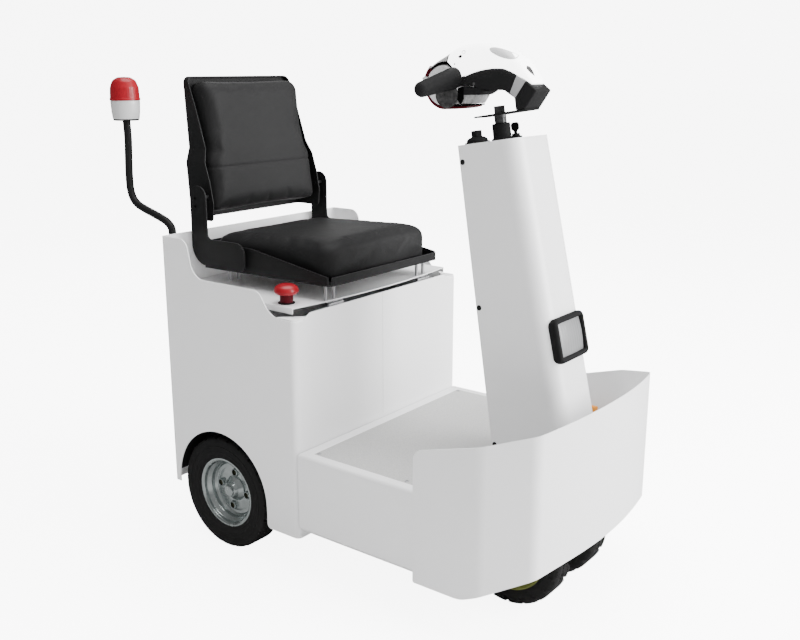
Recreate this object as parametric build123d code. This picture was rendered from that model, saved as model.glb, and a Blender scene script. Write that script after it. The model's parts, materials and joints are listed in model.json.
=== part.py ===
from build123d import *
import math
import os

# Airport baggage tug with a driver's seat, one steered twin wheel in front and two driven rear
# wheels. Millimetres. +X is forward, +Y is the driver's left, +Z is up, and the floor is Z = 0.
# The origin is on the floor, in the middle of the overall length and width.

# Sheet metal and general clearances
SHEET = 3.0
RUNNING_GAP = 0.05
SEAT_GAP = 0.3
SIDES = (("right", -1), ("left", 1))

# Seat box: outer faces, top outline of the side panels and wheel arches
BOX_HALF_WIDTH = 400.0
BOX_REAR_X = -544.0
BOX_FRONT_X = 6.0
BOX_BOTTOM_Z = 124.0
BOX_CORNER_R = 16.0
FRONT_TOP_Z = 783.0
MID_TOP_Z = FRONT_TOP_Z + 73
REAR_TOP_Z = FRONT_TOP_Z + 188
FRONT_RISE = 16.0
FRONT_RISE_MARGIN = 44.0
FRONT_RISE_RUN = 28.0
PANEL_SEAM = 1.2
REAR_STEP_X = -415.0
REAR_STEP_RUN = 24.0
FRONT_STEP_X = -105.0
FRONT_STEP_RUN = 46.0
REAR_STRIP_Z = 172.0
WELL_EDGE_Z = 208.0
REAR_PANEL_HALF_WIDTH = BOX_HALF_WIDTH - 40
CORNER_GUSSET = 62.0

# Rear wheels and axle
REAR_AXLE_X = -318.0
REAR_TYRE_R = 180.0
REAR_TYRE_WIDTH = 86.0
REAR_TYRE_Y = BOX_HALF_WIDTH - 47
ARCH_R = 195.0
ARCH_RISE = 7.0
RIM_FLANGE_R = 112.5
RIM_LIP = 8.0
RIM_WIDTH = 68.0
RIM_SHEET = 4.0
RIM_WELL_R = 92.0
DISC_SETBACK = 46.0
BOLT_CIRCLE_R = 57.5
BOLT_COUNT = 4
BOLT_TURN = 83.0
BOLT_HOLE_R = 7.0
BOSS_R = 12.5
BOSS_HEIGHT = 11.0
BOLT_SINK = 4.0
HUB_R = 42.0
HUB_FLANGE_R = 72.0
HUB_FLANGE = 10.0
HUB_CAP_R = 18.0
HUB_CAP_SETBACK = 11.0
HUB_CAP_WALL = 5.0
HUB_SHOULDER = 9.0
STUB_R = 15.0
AXLE_TUBE_R = 35.0
WELL_CLEARANCE = 12.0
WELL_INNER_Y = BOX_HALF_WIDTH - 100

# Footboard between the seat box and the skirt
DECK_Z = 392.0
DECK_BOTTOM_Z = 146.0
DECK_EDGE_R = 10.0
DECK_CHAMFER = 20.0
DECK_RIM = 34.0
DECK_RECESS = 3.0

# Front skirt
SKIRT_HALF_WIDTH = BOX_HALF_WIDTH + SHEET
SKIRT_REAR_X = 424.0
SKIRT_BEND_X = 628.0
SKIRT_CORNER_X = 753.0
SKIRT_CORNER_Y = SKIRT_HALF_WIDTH - 75
SKIRT_NOSE_X = 796.0
SKIRT_BEND_R = 60.0
SKIRT_CORNER_R = 45.0
SKIRT_BOTTOM_Z = 131.0
SKIRT_NOSE_BOTTOM_Z = 228.0
SKIRT_RISE_X = 575.0
SKIRT_RISE_END_X = 785.0
SKIRT_TOP_AT_BEND_Z = 567.0
SKIRT_TOP_SLOPE = 0.284
SKIRT_REAR_CORNER_R = 35.0

# Steering column. Its own frame has the steering axis as Z and the column's top as Z = 0.
LEAN = 9.0
COLUMN_TOP_X = 424.0
COLUMN_TOP_Z = 1279.0
COLUMN_HALF_WIDTH = 98.0
COLUMN_REAR = -81.0
COLUMN_FRONT = 100.0
COLUMN_TAPER = 4.2
COLUMN_CORNER_R = 46.0
COLUMN_BACK_SETBACK = 6.0
COLUMN_FLANGE = 24.0
TOP_PLATE = 4.0
TOP_PLATE_SETBACK = 2.0
JOINT_Z = 414.0

# Steering shaft and its bearing, in the column's frame
SHAFT_R = 15.0
SHAFT_END_ABOVE_JOINT = 34.0
COLLAR_R = 24.5
COLLAR_TOP = 45.0
COLLAR_FLANGE_R = 29.5
COLLAR_FLANGE = 5.0
COLLAR_DEPTH = 140.0
BUSH_STEP = 4.0
TILLER_PLATE_Z = 67.0
TILLER_PLATE = 4.0
NUT_R = 16.5
NUT_HEIGHT = 20.0

# Front twin wheel and the fork that steers it
FRONT_TYRE_R = 168.0
FRONT_TYRE_WIDTH = 84.0
FRONT_TYRE_Y = 109.0
FRONT_RIM_R = 122.0
FRONT_RIM_LIP = 10.0
FRONT_AXLE_R = 14.0
KINGPIN_R = 20.0
FORK_HALF_WIDTH = 46.0
FORK_LENGTH = 84.0
FORK_CROWN_R = 75.0
FORK_CROWN_Z = 343.0
FORK_CROWN = 13.0
BEARING_GAP = 2.0
BEARING_R = 60.0
BEARING_PLATE = 12.0
DECK_HOLE_R = 62.0

# Chassis frame
UPPER_RAIL_Y = 180.0
UPPER_RAIL_WIDTH = 60.0
UPPER_RAIL_HEIGHT = 40.0
LOWER_RAIL_Y = BOX_HALF_WIDTH - 160
LOWER_RAIL_WIDTH = 50.0
LOWER_RAIL_Z = 245.0
LOWER_RAIL_HEIGHT = 40.0
BULKHEAD_X = -40.0
BULKHEAD_LENGTH = 40.0
FRAME_FRONT_X = 770.0
NOTCH_GAP = 2.0

# Derived places
UP = math.radians(LEAN)
COLUMN = Plane(
    origin=(COLUMN_TOP_X, 0, COLUMN_TOP_Z),
    x_dir=(math.cos(UP), 0, math.sin(UP)),
    z_dir=(-math.sin(UP), 0, math.cos(UP)),
)
JOINT_DEPTH = (COLUMN_TOP_Z - JOINT_Z) / math.cos(UP)
FRONT_WHEEL_X = COLUMN_TOP_X + (COLUMN_TOP_Z - JOINT_Z) * math.tan(UP)
DECK_FLOOR_Z = DECK_Z - DECK_RECESS
DECK_UNDER_Z = DECK_FLOOR_Z - SHEET
UPPER_RAIL_TOP_Z = DECK_UNDER_Z


def rounded_face(corners, plane=Plane.XY):
    """Face inside a closed outline of (x, y, radius) corners, each rounded by its radius."""
    stretches = []
    count = len(corners)
    for index, (x, y, radius) in enumerate(corners):
        here = Vector(x, y)
        before = (Vector(*corners[index - 1][:2]) - here).normalized()
        after = (Vector(*corners[(index + 1) % count][:2]) - here).normalized()
        if radius == 0:
            stretches.append((here, None, here))
            continue
        half = math.radians(before.get_angle(after)) / 2
        reach = radius / math.tan(half)
        inward = (before + after).normalized()
        middle = here + inward * (radius / math.sin(half) - radius)
        stretches.append((here + before * reach, middle, here + after * reach))
    edges = []
    for index, (start, middle, end) in enumerate(stretches):
        if middle is not None:
            edges.append(ThreePointArc(start, middle, end))
        following = stretches[(index + 1) % count][0]
        if (following - end).length > 1e-6:
            edges.append(Line(end, following))
    return plane * make_face(Wire(edges))


def across(corners, half_width):
    """Solid of a side view in X and Z, as wide as half_width on both sides of the middle."""
    return extrude(rounded_face(corners, Plane.XZ), amount=half_width, both=True)


def block(x_low, x_high, y_low, y_high, z_low, z_high):
    """Box between two corners."""
    size = (x_high - x_low, y_high - y_low, z_high - z_low)
    centre = ((x_low + x_high) / 2, (y_low + y_high) / 2, (z_low + z_high) / 2)
    return Pos(*centre) * Box(*size)


def turned_y(profile, x, y, z, side=1):
    """Solid turned about a line along Y from (radius, outward) corners (r, a, rounding)."""
    face = rounded_face(profile, Plane.XZ)
    solid = revolve(face, Axis.Z, 360)
    return Pos(x, y, z) * Rot(X=-90 * side) * solid


def rod_y(radius, y_low, y_high, x, z):
    """Round bar along Y."""
    length = y_high - y_low
    return Pos(x, (y_low + y_high) / 2, z) * Rot(X=90) * Cylinder(radius, length)


def rod_z(radius, z_low, z_high, x=0.0, y=0.0):
    """Round bar along Z."""
    return Pos(x, y, (z_low + z_high) / 2) * Cylinder(radius, z_high - z_low)


# Seat box


def side_outline():
    """Side panel in X and Z: two soft steps down to the front and the upper part of the arch."""
    arch_z = REAR_TYRE_R + ARCH_RISE
    arch_front = REAR_AXLE_X + ARCH_R
    half_step = REAR_STEP_RUN / 2
    half_front_step = FRONT_STEP_RUN / 2
    panel = rounded_face([
        (BOX_REAR_X, REAR_STRIP_Z, 8),
        (BOX_REAR_X, REAR_TOP_Z, 4),
        (REAR_STEP_X - half_step, REAR_TOP_Z, 36),
        (REAR_STEP_X + half_step, MID_TOP_Z, 55),
        (FRONT_STEP_X - half_front_step, MID_TOP_Z, 40),
        (FRONT_STEP_X + half_front_step, FRONT_TOP_Z + 4, 70),
        (BOX_FRONT_X, FRONT_TOP_Z, 4),
        (BOX_FRONT_X, BOX_BOTTOM_Z, 0),
        (arch_front, BOX_BOTTOM_Z, 15),
        (arch_front, REAR_STRIP_Z, 0),
    ])
    arch = Pos(REAR_AXLE_X, arch_z) * Circle(ARCH_R)
    lower = Pos(REAR_AXLE_X, arch_z - ARCH_R / 2) * Rectangle(2 * ARCH_R, ARCH_R)
    return Plane.XZ * (panel - arch - lower)


def box_shell():
    """The whole bent tub of the seat box before it is split where its panels meet."""
    plan = []
    for x, y in ((BOX_REAR_X, -1), (BOX_FRONT_X, -1), (BOX_FRONT_X, 1), (BOX_REAR_X, 1)):
        plan.append((x, y * BOX_HALF_WIDTH, BOX_CORNER_R))
    outer = rounded_face(plan)
    ring = extrude(outer - offset(outer, -SHEET), REAR_TOP_Z)
    tub = ring & extrude(side_outline(), amount=BOX_HALF_WIDTH, both=True)
    return tub + front_rise() - rail_notches()


def front_rise():
    """Middle of the front panel's top edge, which stands higher than its two corners."""
    wide = BOX_HALF_WIDTH - FRONT_RISE_MARGIN
    narrow = wide - FRONT_RISE_RUN
    top = FRONT_TOP_Z + FRONT_RISE
    low = FRONT_TOP_Z - FRONT_RISE
    edge = rounded_face([
        (-wide, low, 0), (wide, low, 0), (wide, FRONT_TOP_Z, 0), (narrow, top, 14),
        (-narrow, top, 14), (-wide, FRONT_TOP_Z, 0),
    ], Plane.YZ)
    return Pos(BOX_FRONT_X - SHEET, 0, 0) * extrude(edge, SHEET)


def rail_notches():
    """Openings in the front panel that the two upper rails pass through."""
    cut = Part()
    half = UPPER_RAIL_WIDTH / 2 + NOTCH_GAP
    for _, side in SIDES:
        y = side * UPPER_RAIL_Y
        low = UPPER_RAIL_TOP_Z - UPPER_RAIL_HEIGHT - NOTCH_GAP
        high = UPPER_RAIL_TOP_Z + NOTCH_GAP
        cut += block(BOX_FRONT_X - 2 * SHEET, BOX_FRONT_X + SHEET, y - half, y + half, low, high)
    return cut


def rear_panel_zone():
    """The flat middle of the rear wall, which is a panel of its own."""
    return block(
        BOX_REAR_X - 1, BOX_REAR_X + SHEET + 1,
        -REAR_PANEL_HALF_WIDTH, REAR_PANEL_HALF_WIDTH,
        0, REAR_TOP_Z + 1,
    )


def body_shell(side):
    """Half of the seat box: one side panel with its half of the front panel bent on."""
    span = sorted((side * PANEL_SEAM / 2, side * 2 * BOX_HALF_WIDTH))
    half = box_shell() & block(BOX_REAR_X - 1, BOX_FRONT_X + 1, *span, 0, REAR_TOP_Z + 1)
    reach = BOX_HALF_WIDTH - SHEET
    x = BOX_FRONT_X - SHEET
    level = FRONT_TOP_Z - 3 * SHEET
    corner = rounded_face([
        (x, side * reach, BOX_CORNER_R - SHEET),
        (x - CORNER_GUSSET, side * reach, 0),
        (x, side * (reach - CORNER_GUSSET), 0),
    ])
    gusset = Pos(0, 0, level) * extrude(corner, SHEET)
    return half - rear_panel_zone() + gusset


def rear_panel():
    """Flat rear wall between the two shells."""
    return box_shell() & rear_panel_zone()


def wheel_well(side):
    """Half drum over a rear wheel, open to the outside and below, with the axle's hole."""
    z = REAR_TYRE_R + ARCH_RISE
    radius = ARCH_R + WELL_CLEARANCE
    low = WELL_INNER_Y
    high = BOX_HALF_WIDTH - SHEET
    rear = REAR_AXLE_X - radius - SHEET
    front = REAR_AXLE_X + radius + SHEET
    skin = Pos(REAR_AXLE_X, 0, z) * Rot(X=90) * Cylinder(radius + SHEET, 2 * high)
    skin += block(rear, front, -high, high, REAR_STRIP_Z, z)
    space = Pos(REAR_AXLE_X, 0, z) * Rot(X=90) * Cylinder(radius, 2 * high + 2)
    space += block(rear + SHEET, front - SHEET, -high - 1, high + 1, 0, z)
    space += block(rear, REAR_AXLE_X, -high - 1, high + 1, 0, WELL_EDGE_Z)
    inner, outer = sorted((side * low, side * high))
    keep = block(rear, front, inner, outer, REAR_STRIP_Z, REAR_TOP_Z)
    inner, outer = sorted((side * low, side * (low + SHEET)))
    wall = skin & block(rear, front, inner, outer, REAR_STRIP_Z, REAR_TOP_Z)
    well = (skin - space) & keep
    return well + wall - rod_y(AXLE_TUBE_R + 6, -high, high, REAR_AXLE_X, REAR_TYRE_R)


# Footboard and skirt


def front_plan(inset):
    """Plan of the footboard and skirt, moved in by inset from the skirt's outer face."""
    points = [
        (BOX_FRONT_X, -SKIRT_HALF_WIDTH),
        (SKIRT_BEND_X, -SKIRT_HALF_WIDTH),
        (SKIRT_CORNER_X, -SKIRT_CORNER_Y),
    ]
    mirrored = [(x, -y) for x, y in reversed(points)]
    nose = ThreePointArc(points[-1], (SKIRT_NOSE_X, 0), mirrored[0])
    wire = Polyline(points) + nose + Polyline(mirrored) + Line(mirrored[-1], points[0])
    plan = make_face(wire)
    bends = plan.vertices().filter_by(lambda v: abs(v.X - SKIRT_BEND_X) < 1)
    corners = plan.vertices().filter_by(lambda v: abs(v.X - SKIRT_CORNER_X) < 1)
    plan = fillet(bends, SKIRT_BEND_R)
    corners = plan.vertices().filter_by(
        lambda v: abs(v.X - SKIRT_CORNER_X) < 1 and abs(abs(v.Y) - SKIRT_CORNER_Y) < 1
    )
    plan = fillet(corners, SKIRT_CORNER_R)
    if inset:
        plan = offset(plan, -inset)
    return plan


def front_skirt():
    """Bent sheet that wraps the front, with a raked top edge and a rising lower edge."""
    wall = extrude(front_plan(0) - front_plan(SHEET), 2 * SKIRT_TOP_AT_BEND_Z)
    beyond = SKIRT_NOSE_X + 24
    rear_top = SKIRT_TOP_AT_BEND_Z + SKIRT_TOP_SLOPE * (SKIRT_REAR_X - SKIRT_BEND_X)
    nose_top = SKIRT_TOP_AT_BEND_Z + SKIRT_TOP_SLOPE * (beyond - SKIRT_BEND_X)
    outline = across([
        (SKIRT_REAR_X, SKIRT_BOTTOM_Z, 6),
        (SKIRT_RISE_X, SKIRT_BOTTOM_Z, 90),
        (SKIRT_RISE_END_X, SKIRT_NOSE_BOTTOM_Z, 90),
        (beyond, SKIRT_NOSE_BOTTOM_Z, 0),
        (beyond, nose_top, 0),
        (SKIRT_REAR_X, rear_top, SKIRT_REAR_CORNER_R),
    ], SKIRT_HALF_WIDTH + 1)
    return wall & outline


def deck_pan():
    """Footboard: a tray with rounded top edges, deep side walls and a turned-in lower edge."""
    outer = Pos(0, 0, DECK_BOTTOM_Z) * extrude(front_plan(SHEET), DECK_Z - DECK_BOTTOM_Z)
    half = SKIRT_HALF_WIDTH - SHEET

    def on_side(edge, z):
        centre = edge.center()
        return abs(centre.Z - z) < 0.1 and abs(abs(centre.Y) - half) < 0.1

    outer = fillet(outer.edges().filter_by(lambda e: on_side(e, DECK_Z)), DECK_EDGE_R)
    outer = chamfer(outer.edges().filter_by(lambda e: on_side(e, DECK_BOTTOM_Z)), DECK_CHAMFER)
    inside = half - SHEET
    slope = DECK_CHAMFER + SHEET * (math.sqrt(2) - 1)
    hollow_section = rounded_face([
        (-inside, DECK_UNDER_Z, DECK_EDGE_R - SHEET),
        (-inside, DECK_BOTTOM_Z + slope, 0),
        (-inside + slope, DECK_BOTTOM_Z, 0),
        (inside - slope, DECK_BOTTOM_Z, 0),
        (inside, DECK_BOTTOM_Z + slope, 0),
        (inside, DECK_UNDER_Z, DECK_EDGE_R - SHEET),
    ], Plane.YZ)
    hollow = extrude(hollow_section, SKIRT_NOSE_X + 10)
    front_void = block(
        SKIRT_BEND_X - SKIRT_BEND_R, SKIRT_NOSE_X + 10, -500, 500, DECK_BOTTOM_Z - 1, DECK_UNDER_Z
    )
    recess = Pos(0, 0, DECK_FLOOR_Z) * extrude(front_plan(SHEET + DECK_RIM), 2 * DECK_RECESS)
    hole = rod_z(DECK_HOLE_R, DECK_BOTTOM_Z, DECK_Z + 1, FRONT_WHEEL_X)
    return outer - hollow - front_void - recess - hole


def deck_plate():
    """Grey floor plate that lies in the footboard's recess."""
    plate = Pos(0, 0, DECK_FLOOR_Z) * extrude(front_plan(SHEET + DECK_RIM + 0.5), DECK_RECESS)
    return plate - rod_z(DECK_HOLE_R, DECK_FLOOR_Z - 1, DECK_Z + 1, FRONT_WHEEL_X)


# Steering column, in its own frame


def column_block(inset, rear, top):
    """Tapered column body whose walls lie in by inset, from rear to the front face, up to top."""
    depth = JOINT_DEPTH + 200
    spread = depth * math.tan(math.radians(COLUMN_TAPER))
    lift = top * math.tan(math.radians(COLUMN_TAPER))
    front = COLUMN_FRONT - inset / math.cos(math.radians(COLUMN_TAPER))
    body = across([
        (rear, -depth, 0),
        (front + spread, -depth, 0),
        (front - lift, top, 0),
        (rear, top, 0),
    ], COLUMN_HALF_WIDTH - inset)
    edges = body.edges().filter_by(
        lambda e: abs(abs(e.center().Y) - COLUMN_HALF_WIDTH + inset) < 0.01
        and e.center().X > COLUMN_FRONT - 1 and e.length > depth / 2
    )
    return fillet(edges, COLUMN_CORNER_R - inset)


def above_deck(shape):
    """Place a piece of the column and cut it off level at the footboard's top."""
    low = block(-1000, 1500, -500, 500, DECK_Z - 900, DECK_Z)
    return COLUMN.location * shape - low


def column_cover():
    """U-shaped cover: two flat sides and a front with large rounded corners, open at the rear."""
    inner = column_block(SHEET, COLUMN_REAR - 50, 50)
    return above_deck(column_block(0, COLUMN_REAR, 0) - inner)


def column_back():
    """Rear wall of the column with flanges that the cover's screws hold."""
    half = COLUMN_HALF_WIDTH - SHEET
    rear = COLUMN_REAR + COLUMN_BACK_SETBACK
    depth = JOINT_DEPTH + 200
    top = -TOP_PLATE_SETBACK - TOP_PLATE
    channel = block(rear, rear + COLUMN_FLANGE, -half, half, -depth, top)
    space = block(rear + SHEET, rear + COLUMN_FLANGE + 1, -half + SHEET, half - SHEET, -depth - 1, top + 1)
    return above_deck(channel - space)


def column_top_plate():
    """Top plate that closes the column, square to the steering axis."""
    rear = COLUMN_REAR + COLUMN_BACK_SETBACK
    inner = column_block(SHEET, rear, 50)
    slab = block(-500, 500, -500, 500, -TOP_PLATE_SETBACK - TOP_PLATE, -TOP_PLATE_SETBACK)
    hole = rod_z(COLLAR_R - BUSH_STEP, -50, 50)
    return COLUMN.location * ((inner & slab) - hole)


def steering_bearing():
    """Collar on the top plate with the long bush that carries the shaft."""
    collar = rod_z(COLLAR_R, 0, COLLAR_TOP)
    collar = fillet(collar.edges().group_by(Axis.Z)[-1], 3)
    flange = rod_z(COLLAR_FLANGE_R, -TOP_PLATE_SETBACK, COLLAR_FLANGE)
    bush = rod_z(COLLAR_R - BUSH_STEP, -COLLAR_DEPTH, 0)
    bore = rod_z(SHAFT_R + RUNNING_GAP, -COLLAR_DEPTH - 1, COLLAR_TOP + 1)
    return COLUMN.location * (collar + flange + bush - bore)


def steering_shaft():
    """Shaft from the tiller plate down to the joint above the kingpin, with its nut."""
    shaft = rod_z(SHAFT_R, SHAFT_END_ABOVE_JOINT - JOINT_DEPTH, TILLER_PLATE_Z + TILLER_PLATE)
    nut_face = Pos(0, 0, TILLER_PLATE_Z + TILLER_PLATE) * RegularPolygon(NUT_R, 6)
    nut = extrude(nut_face, NUT_HEIGHT)
    washer = rod_z(NUT_R, TILLER_PLATE_Z - 6, TILLER_PLATE_Z)
    return COLUMN.location * (shaft + nut + washer)


# Switches on the column's top
SWITCH_PLACE = (-52.0, -45.0)
SWITCH_R = 30.0
KEY_PLACE = (18.0, 41.0)
KEY_R = 13.0


def direction_switch():
    """Low domed rotary switch with a square knob."""
    low = -TOP_PLATE_SETBACK
    rim = rod_z(SWITCH_R, low, low + 5)
    dome = Pos(0, 0, low + 5) * Cone(SWITCH_R - 5, 13, 12, align=(Align.CENTER, Align.CENTER, Align.MIN))
    knob = Pos(0, 0, low + 26) * Box(22, 22, 18)
    knob = fillet(knob.edges().filter_by(Axis.Z), 4)
    return COLUMN.location * Pos(*SWITCH_PLACE, 0) * (rim + dome + knob)


def key_switch():
    """Key lock with a key whose bow stands up."""
    low = -TOP_PLATE_SETBACK
    barrel = rod_z(KEY_R, low, low + 8) + rod_z(KEY_R - 5, low + 8, low + 14)
    blade = Pos(0, 0, low + 18) * Box(9, 2.5, 12)
    ring = Cylinder(13, 3) - Cylinder(6, 4)
    bow = Pos(0, 0, low + 34) * Rot(X=90) * ring
    return COLUMN.location * Pos(*KEY_PLACE, 0) * (barrel + blade + bow)


# Headlight on the column's front face
LAMP_Z = 764.0
LAMP_WIDTH = 160.0
LAMP_HEIGHT = 122.0
LAMP_DEPTH = 16.0
LAMP_RIM = 15.0
LAMP_CORNER_R = 18.0
LENS_DEPTH = 8.0


def lamp_plane():
    """Plane on the column's front face at the lamp's middle, looking out of the face."""
    taper = math.radians(COLUMN_TAPER)
    lean = UP + taper
    top = COLUMN.from_local_coords(Vector(COLUMN_FRONT, 0, 0))
    x = top.X + (top.Z - LAMP_Z) * math.tan(lean)
    return Plane(origin=(x, 0, LAMP_Z), x_dir=(0, 1, 0), z_dir=(math.cos(lean), 0, math.sin(lean)))


def lamp_box(width, height, radius, low, high):
    """Rounded box of the lamp, from low to high above the column's face."""
    plate = extrude(RectangleRounded(width, height, radius), high - low)
    return lamp_plane().location * Pos(0, 0, low) * plate


def headlight_housing():
    """Square rim that stands on the column and holds the lens, cut to the column's corners."""
    inner_width = LAMP_WIDTH - 2 * LAMP_RIM
    inner_height = LAMP_HEIGHT - 2 * LAMP_RIM
    shell = lamp_box(LAMP_WIDTH, LAMP_HEIGHT, LAMP_CORNER_R, -26, LAMP_DEPTH)
    mouth = lamp_box(inner_width, inner_height, LAMP_CORNER_R - 8, LAMP_DEPTH - LENS_DEPTH, 60)
    solid = COLUMN.location * column_block(0, COLUMN_REAR, 0)
    return shell - mouth - solid


def headlight_lens():
    """Flat lens that fills the rim's mouth."""
    inner_width = LAMP_WIDTH - 2 * LAMP_RIM
    inner_height = LAMP_HEIGHT - 2 * LAMP_RIM
    return lamp_box(inner_width, inner_height, LAMP_CORNER_R - 8, LAMP_DEPTH - LENS_DEPTH, LAMP_DEPTH - 3)


# Chassis, rear axle, battery and tow jaw
BATTERY_X = (-430.0, -70.0)
BATTERY_HALF_WIDTH = LOWER_RAIL_Y + 44
BATTERY_HEIGHT = 290.0
GEARBOX_R = 74.0
GEARBOX_WIDTH = 130.0
MOTOR_R = 62.0
MOTOR_LENGTH = 250.0
MOTOR_AHEAD = 132.0
MOTOR_RISE = 6.0
AXLE_BRACKET = 60.0
JAW_Z = 300.0
JAW_GAP = 50.0
JAW_PLATE = 14.0
JAW_HALF_WIDTH = 32.0
JAW_PIN_R = 10.5
JAW_REACH = 62.0
JAW_BASE = (12.0, 120.0, 130.0)


def chassis_frame():
    """Welded frame: low rails under the battery and high rails under the footboard."""
    half = UPPER_RAIL_WIDTH / 2
    rear = BOX_REAR_X + SHEET
    low_z = LOWER_RAIL_Z - LOWER_RAIL_HEIGHT / 2
    high_z = LOWER_RAIL_Z + LOWER_RAIL_HEIGHT / 2
    top = UPPER_RAIL_TOP_Z
    under = top - UPPER_RAIL_HEIGHT
    outer = LOWER_RAIL_Y + LOWER_RAIL_WIDTH / 2
    front_of_bulkhead = BULKHEAD_X + BULKHEAD_LENGTH / 2
    rear_of_bulkhead = BULKHEAD_X - BULKHEAD_LENGTH / 2
    frame = block(rear_of_bulkhead, front_of_bulkhead, -outer, outer, low_z, high_z)
    frame += block(rear_of_bulkhead, front_of_bulkhead, -outer, outer, under, top)
    frame += block(rear, rear + LOWER_RAIL_WIDTH, -outer, outer, low_z, high_z)
    frame += block(rear, rear + 2 * SHEET, -outer / 2, outer / 2, JAW_Z - 100, JAW_Z + 90)
    for _, side in SIDES:
        y = side * UPPER_RAIL_Y
        low_y = side * LOWER_RAIL_Y
        rail_half = LOWER_RAIL_WIDTH / 2
        frame += block(rear_of_bulkhead, FRAME_FRONT_X, y - half, y + half, under, top)
        frame += block(rear, front_of_bulkhead, low_y - rail_half, low_y + rail_half, low_z, high_z)
        frame += block(rear_of_bulkhead, front_of_bulkhead, low_y - rail_half, low_y + rail_half, low_z, top)
        saddle = block(
            REAR_AXLE_X - AXLE_BRACKET / 2, REAR_AXLE_X + AXLE_BRACKET / 2,
            low_y - rail_half, low_y + rail_half, REAR_TYRE_R, low_z,
        )
        frame += saddle - rod_y(AXLE_TUBE_R, low_y - 100, low_y + 100, REAR_AXLE_X, REAR_TYRE_R)
    inner = UPPER_RAIL_Y - half
    for x in (FRONT_WHEEL_X - 120, FRONT_WHEEL_X + 90, FRAME_FRONT_X - 30):
        frame += block(x, x + 30, -inner, inner, under, top)
    return frame


def kingpin_bearing():
    """Plate between the high rails with the housing of the kingpin's bearing."""
    inner = UPPER_RAIL_Y - UPPER_RAIL_WIDTH / 2
    top = UPPER_RAIL_TOP_Z
    low = FORK_CROWN_Z + FORK_CROWN + BEARING_GAP
    plate = block(FRONT_WHEEL_X - 90, FRONT_WHEEL_X + 90, -inner, inner, top - BEARING_PLATE, top)
    housing = rod_z(BEARING_R, low, top + 8, FRONT_WHEEL_X)
    bore = rod_z(KINGPIN_R + RUNNING_GAP, low - 1, top + 20, FRONT_WHEEL_X)
    return plate + housing - bore


def rear_axle():
    """Axle tube with the gearbox bulge in the middle and a stub shaft at each end."""
    high = WELL_INNER_Y - 2
    end = REAR_TYRE_Y + RIM_WIDTH / 2 - HUB_CAP_SETBACK - 6
    tube = rod_y(AXLE_TUBE_R, -high, high, REAR_AXLE_X, REAR_TYRE_R)
    stub = rod_y(STUB_R, -end, end, REAR_AXLE_X, REAR_TYRE_R)
    half = GEARBOX_WIDTH / 2
    bulge = rod_y(GEARBOX_R, -half, half, REAR_AXLE_X, REAR_TYRE_R)
    bulge = fillet(bulge.edges(), 14)
    arm = block(
        REAR_AXLE_X, REAR_AXLE_X + MOTOR_AHEAD, -half + 20, half - 20,
        REAR_TYRE_R - 40, REAR_TYRE_R + 50,
    )
    return tube + stub + bulge + arm - motor_shape(RUNNING_GAP)


def motor_shape(gap):
    """Motor barrel with rounded ends, grown by gap."""
    x = REAR_AXLE_X + MOTOR_AHEAD
    z = REAR_TYRE_R + MOTOR_RISE
    half = MOTOR_LENGTH / 2
    barrel = rod_y(MOTOR_R + gap, -half, half, x, z)
    return fillet(barrel.edges(), 8)


def drive_motor():
    """Electric motor ahead of the axle."""
    return motor_shape(0)


def battery_pack():
    """Traction battery as one plain block on the low rails."""
    low = LOWER_RAIL_Z + LOWER_RAIL_HEIGHT / 2
    return block(*BATTERY_X, -BATTERY_HALF_WIDTH, BATTERY_HALF_WIDTH, low, low + BATTERY_HEIGHT)


def tow_jaw():
    """Towing jaw behind the rear panel: a base plate and two ears with an open pin bore."""
    thick, width, height = JAW_BASE
    x = BOX_REAR_X
    base = block(x - thick, x, -width / 2, width / 2, JAW_Z - height / 2, JAW_Z + height / 2)
    base = fillet(base.edges().filter_by(Axis.X), 10)
    jaw = base
    pin_x = x - thick - JAW_REACH
    for side in (-1, 1):
        low = JAW_Z + side * (JAW_GAP + JAW_PLATE) / 2 - JAW_PLATE / 2
        ear = block(pin_x, x - thick, -JAW_HALF_WIDTH, JAW_HALF_WIDTH, low, low + JAW_PLATE)
        jaw += ear + rod_z(JAW_HALF_WIDTH, low, low + JAW_PLATE, pin_x)
    return jaw - rod_z(JAW_PIN_R, JAW_Z - height, JAW_Z + height, pin_x)


# Rear wheels


def rear_tyre(side):
    """Tyre with a rounded tread that seats on the rim's flanges."""
    half = REAR_TYRE_WIDTH / 2
    bead = RIM_FLANGE_R - RIM_LIP
    profile = [
        (bead, -RIM_WIDTH / 2 + 3, 0),
        (RIM_FLANGE_R + 0.5, -RIM_WIDTH / 2 + 1, 0),
        (RIM_FLANGE_R + 12, -half, 14),
        (REAR_TYRE_R - 24, -half, 20),
        (REAR_TYRE_R, -half + 10, 12),
        (REAR_TYRE_R, half - 10, 12),
        (REAR_TYRE_R - 24, half, 20),
        (RIM_FLANGE_R + 12, half, 14),
        (RIM_FLANGE_R + 0.5, RIM_WIDTH / 2 - 1, 0),
        (bead, RIM_WIDTH / 2 - 3, 0),
    ]
    return turned_y(profile, REAR_AXLE_X, side * REAR_TYRE_Y, REAR_TYRE_R, side)


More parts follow.
